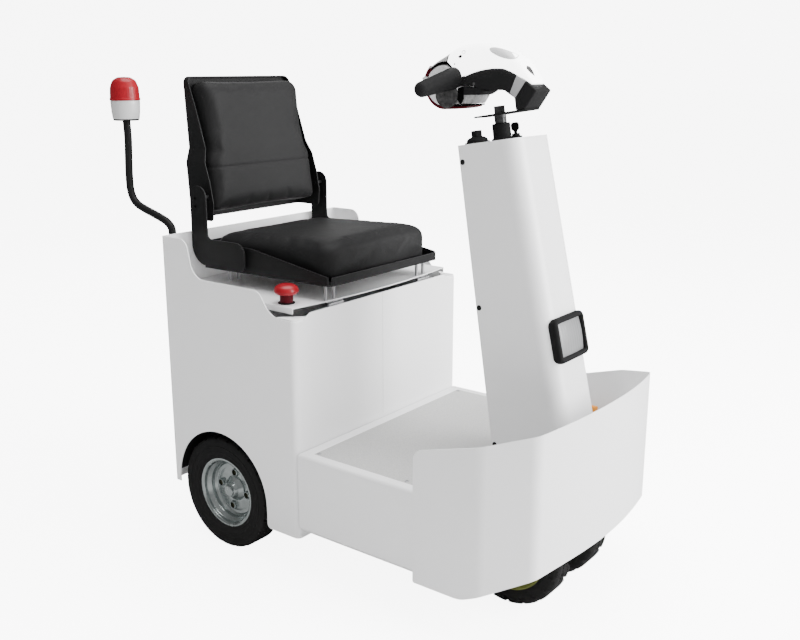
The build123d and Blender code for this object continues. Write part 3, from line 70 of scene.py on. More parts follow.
# Wheel centres (x, distance from the middle, z): a centre is one tyre radius above the floor.
REAR_AXLE = (-318.0, 353.0, 180.0)
FRONT_AXLE = (561.0, 109.0, 168.0)


# Outlines and surfaces, in millimetres


def rounded(corners, steps=6):
    """Outline through (a, b, radius) corners. Each corner becomes the arc of its radius that
    touches both sides: centre = corner + bisector * r / sin(half angle)."""
    points = []
    count = len(corners)
    for index, (a, b, radius) in enumerate(corners):
        here = np.array((a, b), float)
        before = np.array(corners[index - 1][:2], float) - here
        after = np.array(corners[(index + 1) % count][:2], float) - here
        before /= np.linalg.norm(before)
        after /= np.linalg.norm(after)
        if radius == 0:
            points.append(here[None])
            continue
        half = math.acos(np.clip(before @ after, -1, 1)) / 2
        inward = (before + after) / np.linalg.norm(before + after)
        centre = here + inward * radius / math.sin(half)
        start = here + before * radius / math.tan(half) - centre
        end = here + after * radius / math.tan(half) - centre
        turn = math.atan2(start[0] * end[1] - start[1] * end[0], start @ end)
        t = np.linspace(0, turn, steps + 1)[:, None]
        side = np.array((-start[1], start[0]))
        points.append(centre + start * np.cos(t) + side * np.sin(t))
    return np.vstack(points)


def rectangle(a, b, radius, steps):
    """Outline of a rectangle with half sizes a and b and rounded corners."""
    return rounded([(-a, -b, radius), (a, -b, radius), (a, b, radius), (-a, b, radius)], steps)


def respaced(outline, count, closed=True):
    """The same outline with count points at equal steps of its length."""
    path = np.vstack([outline, outline[:1]]) if closed else outline
    step = np.linalg.norm(np.diff(path, axis=0), axis=1)
    along = np.concatenate([[0], np.cumsum(step)])
    at = np.linspace(0, along[-1], count, endpoint=not closed)
    return np.stack([np.interp(at, along, path[:, k]) for k in range(path.shape[1])], axis=1)


def refined(outline, longest):
    """The same closed outline with extra points so that no edge is longer than longest."""
    path = np.vstack([outline, outline[:1]])
    pieces = []
    for start, end in zip(path[:-1], path[1:]):
        count = max(1, math.ceil(np.linalg.norm(end - start) / longest))
        pieces.append(start + (end - start) * np.arange(count)[:, None] / count)
    return np.vstack(pieces)


def outward(outline):
    """Unit normals of a closed outline, pointing out of it."""
    tangent = np.roll(outline, -1, axis=0) - np.roll(outline, 1, axis=0)
    normal = np.stack([tangent[:, 1], -tangent[:, 0]], axis=1)
    normal /= np.maximum(np.linalg.norm(normal, axis=1, keepdims=True), 1e-9)
    x, y = outline.T
    area = np.sum(x * np.roll(y, -1) - y * np.roll(x, -1))
    return normal if area > 0 else -normal


def grid_faces(rows, cols, wrap_rows, wrap_cols):
    """Four-sided faces between the neighbours of a rows by cols grid."""
    r = np.arange(rows if wrap_rows else rows - 1)[:, None]
    c = np.arange(cols if wrap_cols else cols - 1)[None, :]
    r2, c2 = (r + 1) % rows, (c + 1) % cols
    corners = [r * cols + c, r * cols + c2, r2 * cols + c2, r2 * cols + c]
    return np.stack(np.broadcast_arrays(*corners), axis=-1).reshape(-1, 4)


def fan(start, count, tip, first):
    """Triangles between a ring of count points and its tip, facing out of the first or last end."""
    ring = start + np.arange(count)
    following = start + (np.arange(count) + 1) % count
    pair = (following, ring) if first else (ring, following)
    return [[int(a), int(b), tip] for a, b in zip(*pair)]


def surface(grid, wrap_rows=False, wrap_cols=True, caps=(False, False)):
    """Vertices and faces of a point grid; a cap is a fan to the middle of the end ring."""
    rows, cols = grid.shape[:2]
    points = grid.reshape(-1, 3)
    faces = [list(face) for face in grid_faces(rows, cols, wrap_rows, wrap_cols)]
    for first, wanted in zip((True, False), caps):
        if wanted:
            faces += fan(0 if first else (rows - 1) * cols, cols, len(points), first)
            points = np.vstack([points, grid[0 if first else -1].mean(axis=0)])
    return points, faces


def merged(parts):
    """Several (points, faces) shapes as one."""
    points, faces, offset = [], [], 0
    for part_points, part_faces in parts:
        points.append(np.asarray(part_points, float))
        faces += [[int(i) + offset for i in face] for face in part_faces]
        offset += len(part_points)
    return np.vstack(points), faces


def turned(profile, centre, axis, segments=96, closed=True):
    """Revolved shape: point = centre + along * axis + radius * (cos t * u + sin t * v) for each
    (radius, along) of the profile. An open profile that ends on the axis is closed there."""
    axis = np.asarray(axis, float) / np.linalg.norm(axis)
    u = np.cross(axis, (0.0, 0.0, 1.0) if abs(axis[2]) < 0.9 else (1.0, 0.0, 0.0))
    u /= np.linalg.norm(u)
    v = np.cross(axis, u)
    t = np.linspace(0, 2 * math.pi, segments, endpoint=False)
    circle = np.cos(t)[:, None] * u + np.sin(t)[:, None] * v
    profile = np.asarray(profile, float)
    grid = np.asarray(centre) + profile[:, 1, None, None] * axis + profile[:, 0, None, None] * circle
    if closed:
        return surface(grid, wrap_rows=True)
    caps = (profile[0, 0] < 1e-6, profile[-1, 0] < 1e-6)
    inner = grid[(1 if caps[0] else 0):(len(grid) - 1 if caps[1] else len(grid))]
    points, faces = surface(inner)
    for first, wanted in zip((True, False), caps):
        if wanted:
            faces += fan(0 if first else (len(inner) - 1) * segments, segments, len(points), first)
            points = np.vstack([points, grid[0 if first else -1, 0]])
    return points, faces


def slab(outline, low, high, rounding, steps=3):
    """Plate of an outline in its own (a, b) plane, from low to high. Its edges are quarter
    circles: the outline moves in by r (1 - cos t) while the height nears the face by r (1 - sin t)."""
    normal = outward(outline)
    t = np.linspace(0, math.pi / 2, steps + 1)
    inset = rounding * (1 - np.cos(t))
    lift = rounding * (1 - np.sin(t))
    rings = []
    for depth, rise in list(zip(inset, lift))[::-1]:
        rings.append(np.column_stack([outline - normal * depth, np.full(len(outline), low + rise)]))
    for depth, rise in zip(inset, lift):
        rings.append(np.column_stack([outline - normal * depth, np.full(len(outline), high - rise)]))
    grid = np.array(rings)
    count = len(outline)
    points = grid.reshape(-1, 3)
    faces = [list(face) for face in grid_faces(len(grid), count, False, True)]
    faces.append(list(range(count))[::-1])
    faces.append(list(range((len(grid) - 1) * count, len(grid) * count)))
    return points, faces


def placed(part, origin, x_axis, y_axis, z_axis):
    """A shape moved from its own (a, b, c) frame to another one."""
    points, faces = part
    basis = np.array((x_axis, y_axis, z_axis), float)
    return np.asarray(origin, float) + np.asarray(points) @ basis, faces


def side_slab(outline, half_width, rounding):
    """Slab of an (x, z) outline that reaches half_width to both sides of the middle."""
    return placed(slab(outline, -half_width, half_width, rounding), MIDDLE, FORWARD, UP, (0, -1, 0))


def on_column(part):
    """A shape moved from the column's frame into the tug's frame."""
    return placed(part, COLUMN_ORIGIN, COLUMN_X, COLUMN_Y, COLUMN_Z)


def tube(path, radii, segments):
    """Round bar along a path, closed at both ends: each ring lies square to the path there."""
    path = np.asarray(path, float)
    radii = np.broadcast_to(np.asarray(radii, float), len(path))
    tangent = np.gradient(path, axis=0)
    tangent /= np.linalg.norm(tangent, axis=1, keepdims=True)
    hint = np.array((0.0, 0.0, 1.0)) if abs(tangent[0][2]) < 0.9 else np.array((0.0, 1.0, 0.0))
    u = np.cross(tangent, hint)
    u /= np.linalg.norm(u, axis=1, keepdims=True)
    v = np.cross(tangent, u)
    t = np.linspace(0, 2 * math.pi, segments, endpoint=False)
    circle = np.cos(t)[None, :, None] * u[:, None] + np.sin(t)[None, :, None] * v[:, None]
    grid = path[:, None] + radii[:, None, None] * circle
    return surface(grid, caps=(True, True))


def add_piece(name, part, finish, body, replaces=(), smooth=35.0):
    """Mesh object of a shape in millimetres, outward and shaded smooth up to an angle."""
    points, faces = part
    mesh = bpy.data.meshes.new(name)
    mesh.from_pydata((np.asarray(points) * MM).tolist(), [], [list(map(int, f)) for f in faces])
    mesh.validate()
    obj = bpy.data.objects.new(name, mesh)
    bpy.context.scene.collection.objects.link(obj)
    tidy_normals(obj)
    shade(obj, smooth)
    obj.data.materials.append(bpy.data.materials[FINISH_PREFIX + finish])
    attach(obj, body)
    if replaces:
        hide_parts(*replaces)
    return obj


def tidy_normals(obj):
    """Merge doubles and point every face outwards."""
    select_only(obj)
    bpy.ops.object.mode_set(mode="EDIT")
    bpy.ops.mesh.select_all(action="SELECT")
    bpy.ops.mesh.remove_doubles(threshold=1e-6)
    bpy.ops.mesh.normals_make_consistent(inside=False)
    bpy.ops.object.mode_set(mode="OBJECT")


def select_only(obj):
    """Make one object the active and only selected one."""
    for other in bpy.context.selected_objects:
        other.select_set(False)
    bpy.context.view_layer.objects.active = obj
    obj.select_set(True)


def shade(obj, angle):
    """Smooth shading with edges sharper than the angle kept."""
    select_only(obj)
    bpy.ops.object.shade_smooth_by_angle(angle=math.radians(angle), keep_sharp_edges=False)


def hexagon(radius):
    """Outline of a hexagon with that radius to its corners."""
    t = np.linspace(0, 2 * math.pi, 6, endpoint=False)
    return np.column_stack([radius * np.cos(t), radius * np.sin(t)])


WASHER = 1.2


def bolt(place, axis, radius, height):
    """Hexagon head on a washer, standing on place along axis, with a domed top."""
    axis = np.asarray(axis, float) / np.linalg.norm(axis)
    u = np.cross(axis, (0.0, 1.0, 0.0) if abs(axis[1]) < 0.9 else (1.0, 0.0, 0.0))
    u /= np.linalg.norm(u)
    v = np.cross(axis, u)
    head = slab(hexagon(radius), WASHER, height, rounding=0.5, steps=2)
    wide = radius * 1.35
    washer = turned([(0, 0), (wide, 0), (wide, WASHER), (0, WASHER)], MIDDLE, UP, 32, False)
    return merged([placed(head, place, u, v, axis), placed(washer, place, u, v, axis)])


SOCKET_DEPTH, SUNK = 1.6, 0.3


def screw(place, axis, radius, height):
    """Button head with a round socket: the dome is r sin t wide where it is h cos t high."""
    t = np.linspace(0, math.pi / 2, 7)
    floor = height - SOCKET_DEPTH
    dome = [(radius * 0.42, floor), (radius * 0.42, height * 0.97)]
    dome += [(radius * math.sin(a), height * math.cos(a)) for a in t if math.sin(a) > 0.45]
    profile = [(0, floor), *dome, (radius, -SUNK), (0, -SUNK)]
    return turned(profile, place, axis, 24, False)


# Finishes


def group_tree(name, inputs, outputs):
    """Empty shader node group with named sockets: (name, type, default) each."""
    tree = bpy.data.node_groups.new(name, "ShaderNodeTree")
    for label, kind, default in inputs:
        socket = tree.interface.new_socket(label, in_out="INPUT", socket_type=kind)
        if default is not None:
            socket.default_value = default
    for label, kind in outputs:
        tree.interface.new_socket(label, in_out="OUTPUT", socket_type=kind)
    return tree, tree.nodes.new("NodeGroupInput"), tree.nodes.new("NodeGroupOutput")


def feed(tree, socket, value):
    """Link a socket to another one, or set it to a plain value."""
    if isinstance(value, bpy.types.NodeSocket):
        tree.links.new(value, socket)
    else:
        socket.default_value = value


def math_node(tree, operation, a, b, clamp=False):
    """Math node fed with sockets or numbers; returns its output."""
    node = tree.nodes.new("ShaderNodeMath")
    node.operation = operation
    node.use_clamp = clamp
    feed(tree, node.inputs[0], a)
    feed(tree, node.inputs[1], b)
    return node.outputs[0]


def times(tree, a, b, clamp=False):
    """Product of two sockets or numbers."""
    return math_node(tree, "MULTIPLY", a, b, clamp)


def plus(tree, a, b, clamp=False):
    """Sum of two sockets or numbers."""
    return math_node(tree, "ADD", a, b, clamp)


def minus(tree, a, b, clamp=False):
    """Difference of two sockets or numbers."""
    return math_node(tree, "SUBTRACT", a, b, clamp)


NOISE_ROUGHNESS = 0.55


def noise_node(tree, vector, scale, detail=3.0):
    """Noise texture; returns its factor output."""
    node = tree.nodes.new("ShaderNodeTexNoise")
    node.inputs["Detail"].default_value = detail
    node.inputs["Roughness"].default_value = NOISE_ROUGHNESS
    feed(tree, node.inputs["Vector"], vector)
    feed(tree, node.inputs["Scale"], scale)
    return node.outputs[0]


def mixed(tree, factor, first, second):
    """Blend of two colour sockets; returns its output."""
    mix = tree.nodes.new("ShaderNodeMix")
    mix.data_type = "RGBA"
    for label, value in (("Factor", factor), ("A", first), ("B", second)):
        tree.links.new(value, mix.inputs[label])
    return mix.outputs["Result"]


def make_mottle_group():
    """Colour drifts lighter and darker by Spread in soft clouds, and dust gathers near the floor."""
    tree, source, sink = group_tree(
        "tug_mottle",
        [("Vector", "NodeSocketVector", None), ("Colour", "NodeSocketColor", None),
         ("Scale", "NodeSocketFloat", 6.0), ("Spread", "NodeSocketFloat", 0.06),
         ("Dust", "NodeSocketFloat", 0.0), ("Dust Colour", "NodeSocketColor", (0.32, 0.29, 0.25, 1)),
         ("Roughness", "NodeSocketFloat", 0.4)],
        [("Colour", "NodeSocketColor"), ("Roughness", "NodeSocketFloat")],
    )
    clouds = noise_node(tree, source.outputs["Vector"], source.outputs["Scale"])
    centred = minus(tree, clouds, 0.5)
    drift = times(tree, centred, source.outputs["Spread"])
    shift = tree.nodes.new("ShaderNodeHueSaturation")
    tree.links.new(plus(tree, times(tree, drift, 2.0), 1.0), shift.inputs["Value"])
    tree.links.new(source.outputs["Colour"], shift.inputs["Color"])
    parts = tree.nodes.new("ShaderNodeSeparateXYZ")
    tree.links.new(source.outputs["Vector"], parts.inputs[0])
    low = minus(tree, 1.0, times(tree, parts.outputs["Z"], 2.6), clamp=True)
    specks = noise_node(tree, source.outputs["Vector"], 38.0, 6.0)
    dusty = times(tree, times(tree, low, low), specks)
    amount = times(tree, dusty, source.outputs["Dust"], clamp=True)
    blended = mixed(tree, amount, shift.outputs[0], source.outputs["Dust Colour"])
    tree.links.new(blended, sink.inputs["Colour"])
    rough = plus(tree, source.outputs["Roughness"], drift)
    tree.links.new(plus(tree, rough, times(tree, amount, 0.4), clamp=True),
                   sink.inputs["Roughness"])


def make_grain_group():
    """Height of a fine grain: cells of the given size pressed into soft waves."""
    tree, source, sink = group_tree(
        "tug_grain",
        [("Vector", "NodeSocketVector", None), ("Cells", "NodeSocketFloat", 400.0),
         ("Waves", "NodeSocketFloat", 30.0), ("Cell Share", "NodeSocketFloat", 0.7)],
        [("Height", "NodeSocketFloat")],
    )
    cells = tree.nodes.new("ShaderNodeTexVoronoi")
    cells.feature = "DISTANCE_TO_EDGE"
    tree.links.new(source.outputs["Vector"], cells.inputs["Vector"])
    tree.links.new(source.outputs["Cells"], cells.inputs["Scale"])
    pits = times(tree, times(tree, cells.outputs["Distance"], 3.0, True), source.outputs["Cell Share"])
    waves = noise_node(tree, source.outputs["Vector"], source.outputs["Waves"], 2.0)
    rest = minus(tree, 1.0, source.outputs["Cell Share"])
    tree.links.new(plus(tree, pits, times(tree, waves, rest)), sink.inputs["Height"])


def make_edge_wear_and_light_group():
    """Edge colour where a rounded normal parts from the true one, broken by noise: partly wear and partly
    painted light, with darker edges on light finishes and lighter ones on dark finishes.
    """
    tree, source, sink = group_tree(
        "tug_wear",
        [("Vector", "NodeSocketVector", None), ("Amount", "NodeSocketFloat", 0.5),
         ("Colour", "NodeSocketColor", None), ("Bare Colour", "NodeSocketColor", (0.4, 0.4, 0.4, 1))],
        [("Colour", "NodeSocketColor")],
    )
    bevel = tree.nodes.new("ShaderNodeBevel")
    bevel.samples = 3
    bevel.inputs["Radius"].default_value = 0.002
    geometry = tree.nodes.new("ShaderNodeNewGeometry")
    dot = tree.nodes.new("ShaderNodeVectorMath")
    dot.operation = "DOT_PRODUCT"
    tree.links.new(bevel.outputs[0], dot.inputs[0])
    tree.links.new(geometry.outputs["Normal"], dot.inputs[1])
    edge = times(tree, minus(tree, 1.0, dot.outputs["Value"]), 6.0, True)
    broken = times(tree, noise_node(tree, source.outputs["Vector"], 60.0, 5.0), 1.4)
    mask = times(tree, times(tree, edge, broken), source.outputs["Amount"], True)
    blended = mixed(tree, mask, source.outputs["Colour"], source.outputs["Bare Colour"])
    tree.links.new(blended, sink.inputs["Colour"])


def place_group(tree, name, **values):
    """Put a shader group in a material, with its inputs set or linked."""
    node = tree.nodes.new("ShaderNodeGroup")
    node.node_tree = bpy.data.node_groups[name]
    for label, value in values.items():
        feed(tree, node.inputs[label.replace("_", " ")], value)
    return node


# The frame brings plain materials with the slots' own names, so the finishes carry a prefix.
FINISH_PREFIX = "tug_"


def new_finish(name, colour, rough, metal=0.0, shine=0.5, cells=500.0, waves=25.0, cell_share=0.6,
               depth=0.2, spread=0.05, scale=5.0, dust=0.0, wear=0.0, bare=(0.4, 0.4, 0.4), fixed=()):
    """Material: mottled colour, edges tinted as wear and painted edge light, and grained bump on a Principled
    BSDF.
    """
    material = bpy.data.materials.new(FINISH_PREFIX + name)
    material.use_nodes = True
    tree = material.node_tree
    shader = tree.nodes["Principled BSDF"]
    place = tree.nodes.new("ShaderNodeTexCoord").outputs["Object"]
    mottle = place_group(tree, "tug_mottle", Vector=place, Colour=(*colour, 1), Scale=scale,
                         Spread=spread, Dust=dust, Roughness=rough)
    colour_out = mottle.outputs["Colour"]
    # Edges tinted toward the edge colour: partly wear, partly painted edge shade and painted edge highlight.
    if wear:
        edge_toned = place_group(tree, "tug_wear", Vector=place, Colour=colour_out, Amount=wear,
                           Bare_Colour=(*bare, 1))
        colour_out = edge_toned.outputs["Colour"]
    tree.links.new(colour_out, shader.inputs["Base Color"])
    tree.links.new(mottle.outputs["Roughness"], shader.inputs["Roughness"])
    shader.inputs["Metallic"].default_value = metal
    shader.inputs["Specular IOR Level"].default_value = shine
    grain = place_group(tree, "tug_grain", Vector=place, Cells=cells, Waves=waves, Cell_Share=cell_share)
    bump = tree.nodes.new("ShaderNodeBump")
    bump.inputs["Strength"].default_value = depth
    bump.inputs["Distance"].default_value = 0.0005
    tree.links.new(grain.outputs["Height"], bump.inputs["Height"])
    tree.links.new(bump.outputs["Normal"], shader.inputs["Normal"])
    for label, value in fixed:
        shader.inputs[label].default_value = value


def colour_setting(name, description, default):
    """Property that holds a colour."""
    return FloatVectorProperty(
        name=name, description=description, subtype="COLOR", default=default, min=0, max=1)


class TugFinishes(bpy.types.PropertyGroup):
    """Colours of the tug's painted, moulded and sewn surfaces."""

    body_white: colour_setting("Body white", "Powder coat of the sheet metal", (0.8, 0.8, 0.805))
    deck_grey: colour_setting("Deck grey", "Floor plate of the footboard", (0.42, 0.42, 0.415))
    seat_black: colour_setting("Seat black", "Cover of the cushions", (0.013, 0.013, 0.0133))
    signal_red: colour_setting("Signal red", "Beacon and stop button", (0.24, 0.004, 0.01))
    pad_crimson: colour_setting("Pad crimson", "Push pad and stem of the button", (0.07, 0.003, 0.007))
    rim_lime: colour_setting("Rim lime", "Painted rims of the front wheels", (0.11, 0.125, 0.012))


def coat(weight, rough):
    """Values of a clear coat."""
    return (("Coat Weight", weight), ("Coat Roughness", rough))


def glow(strength):
    """Values of a white glow, which lets a surface reach the photograph's burnt-out white."""
    return (("Emission Color", (1, 1, 1, 1)), ("Emission Strength", strength))


# Name, slot in the record, colour or the setting that holds it, roughness, and other values.
FINISHES = (
    # The edge tint of the white paint and of the blacks is partly wear and partly painted light: painted edge
    # shade on the white, painted edge highlight on the blacks.
    ("white_paint", "white_paint", "body_white", 0.4,
     dict(cells=240, waves=90, cell_share=0.15, depth=0.06, spread=0.02, dust=0.1, wear=0.2,
          bare=(0.55, 0.55, 0.55), fixed=coat(0.2, 0.25))),
    ("deck_grey", "deck_grey", "deck_grey", 0.8,
     dict(shine=0.3, cells=260, cell_share=0.8, depth=0.8, spread=0.5, scale=420)),
    ("black_steel", "black_steel", (0.009, 0.009, 0.0093), 0.5,
     dict(shine=0.12, cells=700, depth=0.2, spread=0.1, wear=0.4, bare=(0.1, 0.1, 0.105))),
    ("black_plastic", "black_plastic", (0.014, 0.014, 0.0143), 0.5,
     dict(shine=0.02, cells=900, depth=0.3, spread=0.1, wear=0.2, bare=(0.06, 0.06, 0.06))),
    ("white_plastic", "white_plastic", (0.5, 0.5, 0.5), 0.3,
     dict(cells=900, depth=0.05, spread=0.02, fixed=coat(0.4, 0.1))),
    # Painted light: a glowing copy of the white plastic, emission strength 5, though the shell is no lamp.
    ("shell_white", "white_plastic", (0.95, 0.95, 0.95), 0.35,
     dict(cells=900, depth=0.04, spread=0.01, fixed=glow(5.0))),
    ("grey_plastic", "white_plastic", (0.34, 0.34, 0.345), 0.5,
     dict(shine=0.35, cells=900, depth=0.2, spread=0.05)),
    ("mottled_plastic", "black_plastic", (0.05, 0.05, 0.05), 0.6,
     dict(shine=0.05, cells=260, depth=0.6, spread=1.2, scale=90)),
    ("badge_grey", "white_plastic", (0.72, 0.72, 0.725), 0.4, dict(cells=900, depth=0.05, spread=0.03)),
    ("red_plastic", "red_plastic", "signal_red", 0.3,
     dict(shine=0.3, cells=900, depth=0.05, spread=0.06, fixed=coat(0.03, 0.2))),
    ("crimson_plastic", "red_plastic", "pad_crimson", 0.4,
     dict(shine=0.1, cells=900, depth=0.05, spread=0.06)),
    ("seat_cover", "seat_cover", "seat_black", 0.5,
     dict(shine=0.09, cells=420, waves=60, cell_share=0.8, depth=0.4, spread=0.12, scale=9)),
    ("tyre", "tyre", (0.008, 0.008, 0.0082), 0.75,
     dict(shine=0.15, cells=600, waves=80, depth=0.4, spread=0.2, scale=12, dust=0.03)),
    ("zinc", "zinc", (0.47, 0.51, 0.505), 0.24,
     dict(metal=1.0, cells=160, waves=20, cell_share=0.3, depth=0.08, spread=0.35, scale=26)),
    # Partly painted shade: the olive tint is the studs' own, the near-black darkness is the shade deep in the
    # bolt bores.
    ("olive_zinc", "zinc", (0.02, 0.022, 0.006), 0.6,
     dict(metal=0.2, shine=0.2, cells=300, depth=0.2, spread=0.2, scale=30)),
    ("lime_paint", "lime_paint", "rim_lime", 0.45, dict(cells=500, depth=0.1, spread=0.1, dust=0.1)),
    ("lamp_lens", "lamp_lens", (0.16, 0.162, 0.165), 0.3,
     dict(cells=300, depth=0.1, spread=0.05, fixed=coat(0.1, 0.1))),
    ("steel", "steel", (0.34, 0.34, 0.35), 0.4,
     dict(metal=1.0, cells=600, depth=0.15, spread=0.15, scale=30)),
    ("dark_steel", "steel", (0.09, 0.09, 0.092), 0.42,
     dict(metal=0.6, cells=600, depth=0.15, spread=0.2, scale=30)),
    ("frame_paint", "frame_paint", (0.008, 0.008, 0.0083), 0.6,
     dict(shine=0.12, cells=400, depth=0.3, spread=0.12, dust=0.1)),
    ("battery_case", "battery_case", (0.03, 0.03, 0.033), 0.55,
     dict(shine=0.3, cells=600, depth=0.3, spread=0.1)),
    ("amber_plastic", "lamp_lens", (0.75, 0.26, 0.01), 0.35, dict(cells=600, depth=0.1, spread=0.06)),
    ("matt_black", "black_plastic", (0.012, 0.012, 0.0123), 0.6,
     dict(shine=0.02, cells=900, depth=0.3, spread=0.15)),
    ("speckled_plastic", "white_plastic", (0.3, 0.3, 0.3), 0.55,
     dict(shine=0.3, cells=260, depth=0.4, spread=0.9, scale=120)),
    # Painted shade: near-black put in seams, gaps, slots and holes, where there is only shade.
    ("gap_black", "black_plastic", (0.003, 0.003, 0.003), 0.8,
     dict(shine=0.0, cells=600, depth=0.1, spread=0.1)),
)


class TUG_OT_finishes(bpy.types.Operator):
    """Make every finish and put it on the frame's own nodes"""

    bl_idname = "tug.finishes"
    bl_label = "Finishes"

    def execute(self, context):
        colours = context.scene.tug_finishes
        make_mottle_group()
        make_grain_group()
        make_edge_wear_and_light_group()
        for name, _, colour, rough, options in FINISHES:
            if isinstance(colour, str):
                colour = tuple(getattr(colours, colour))
            new_finish(name, colour, rough, **options)
        for row in frame["record"]["subparts"]:
            node = frame["nodes"][row["node"]]
            material = bpy.data.materials[FINISH_PREFIX + row["material_slot"]]
            if not node.material_slots:
                node.data.materials.append(material)
            for slot in node.material_slots:
                slot.material = material
        return {"FINISHED"}


# Wheels


class TugWheels(bpy.types.PropertyGroup):
    """Sizes of the tyres' tread."""

    rear_lugs: IntProperty(
        name="Rear lugs", description="Shoulder notches around a rear tyre", default=22, min=12, max=72)
    front_lugs: IntProperty(
        name="Front lugs", description="Shoulder blocks around a front tyre", default=20, min=12, max=72)
    groove_depth: FloatProperty(
        name="Groove depth", description="Depth of the tread's grooves", default=0.006, min=0.002,
        max=0.012, unit="LENGTH")


TREAD_SEGMENTS = 792


def treaded(profile, centre, tread_radius, tread_half, lugs, depth, shoulder, lug_share):
    """Tyre: the profile turned about Y. A point of the tread moves in by depth where it lies in
    a groove: lug grooves are waves of the angle, cut off below lug_share, slanted by the distance
    from the middle, and they reach down the side wall by shoulder. Fine cuts lie between them."""
    outline = refined(rounded(profile, 4), 3.6)
    t = np.linspace(0, 2 * math.pi, TREAD_SEGMENTS, endpoint=False)
    radius = outline[:, 0][:, None] * np.ones_like(t)
    across = outline[:, 1][:, None] * np.ones_like(t)
    share = across / tread_half
    out = np.abs(share)
    slant = 0.5 * np.sign(share) + 0.35 * out
    wave = np.cos(lugs * t + slant * math.pi)
    lug_groove = np.clip((wave - lug_share) / (0.4 * (1 - lug_share)), 0, 1)
    lug_groove = lug_groove * np.clip((out - 0.12) / 0.1, 0, 1)
    fine = np.clip((np.cos(6 * lugs * t + 2 * slant * math.pi) - 0.4) / 0.4, 0, 1) * 0.3
    fine = fine * np.clip((1.0 - out) / 0.1, 0, 1)
    centre_groove = np.clip(1 - np.abs(out - 0.38 - 0.04 * np.sin(lugs * t)) / 0.07, 0, 1)
    on_tread = np.clip((radius - (tread_radius - shoulder)) / (0.3 * shoulder), 0, 1)
    cut = on_tread * np.maximum.reduce([lug_groove, fine, 0.9 * centre_groove])
    radius = radius - depth * cut
    across = across * (1 - 0.06 * cut * np.clip((out - 0.6) / 0.2, 0, 1))
    x = centre[0] + radius * np.cos(t)
    z = centre[2] + radius * np.sin(t)
    return surface(np.stack([x, centre[1] + across, z], axis=-1), wrap_rows=True)


def beside(place, side):
    """A place given for the left side, on that side or mirrored to the right."""
    return place[0], side * place[1], place[2]


def around(centre, radius, angles):
    """Places on a circle about an axle's centre."""
    x, y, z = centre
    return [(x + radius * math.cos(a), y, z + radius * math.sin(a)) for a in angles]


def mirrored_profile(half_profile):
    """A wheel's closed (radius, along) profile from the half on the positive side."""
    other = [(radius, -along, rounding) for radius, along, rounding in half_profile]
    return other + half_profile[::-1]


class TUG_OT_tyres(bpy.types.Operator):
    """Tyres with lugs, shoulder notches and ringed side walls"""

    bl_idname = "tug.tyres"
    bl_label = "Tyres"

    def execute(self, context):
        sizes = context.scene.tug_wheels
        depth = sizes.groove_depth / MM
        rear = mirrored_profile([
            (104.5, 31, 0), (113, 33, 2), (117, 37, 3), (121, 39.2, 0), (121.6, 40.2, 0), (123.2, 40.6, 0),
            (123.8, 40.3, 0), (133, 41.8, 4), (134, 42.6, 0), (135.4, 42.7, 0), (136.2, 42, 0),
            (149.6, 41.8, 0), (150.4, 42.9, 0), (152.6, 42.9, 0), (153.4, 41.6, 0), (164, 40.6, 5),
            (175, 37.6, 5), (179.8, 31, 5),
        ])
        front = mirrored_profile([
            (120.5, 34, 0), (123.5, 38.5, 1), (128, 40.5, 3), (131, 41.2, 0), (132, 41.9, 0),
            (133.4, 41.9, 0), (134.4, 41.4, 0), (144, 41.6, 5), (154, 40.2, 5), (164, 35.5, 4),
            (167.8, 28, 4),
        ])
        # Profile, axle, half the tread's width, lugs, depth, shoulder and share of the grooves.
        wheels = {
            "rear": (rear, REAR_AXLE, 40, sizes.rear_lugs, depth, 6, 0.88),
            "front": (front, FRONT_AXLE, 38, sizes.front_lugs, 1.5 * depth, 24, 0.6),
        }
        for wheel, (profile, axle, *tread) in wheels.items():
            for name, side in SIDES:
                part = treaded(profile, beside(axle, side), axle[2], *tread)
                body = "front_wheels" if wheel == "front" else "rear_wheel_" + name
                add_piece(f"{wheel}_tyre_tread_{name}", part, "tyre", body, (f"{wheel}_tyre_{name}",), 40)
        return {"FINISHED"}


def cut_holes(obj, places, axis, radius, length):
    """Bore round holes through a piece and keep the result."""
    profile = [(0, -length), (radius, -length), (radius, length), (0, length)]
    points, faces = merged([turned(profile, place, axis, 32, False) for place in places])
    mesh = bpy.data.meshes.new("cutter")
    mesh.from_pydata((points * MM).tolist(), [], faces)
    cutter = bpy.data.objects.new("cutter", mesh)
    bpy.context.scene.collection.objects.link(cutter)
    tidy_normals(cutter)
    modifier = obj.modifiers.new("holes", "BOOLEAN")
    modifier.operation = "DIFFERENCE"
    modifier.solver = "EXACT"
    modifier.object = cutter
    select_only(obj)
    bpy.ops.object.modifier_apply(modifier=modifier.name)
    bpy.data.objects.remove(cutter)


# Four wheel bolts: radius of their circle and their bores, and the angle of the first.
BOLT_CIRCLE, BOLT_BORE, FIRST_BOLT = 57.5, 9.4, 83


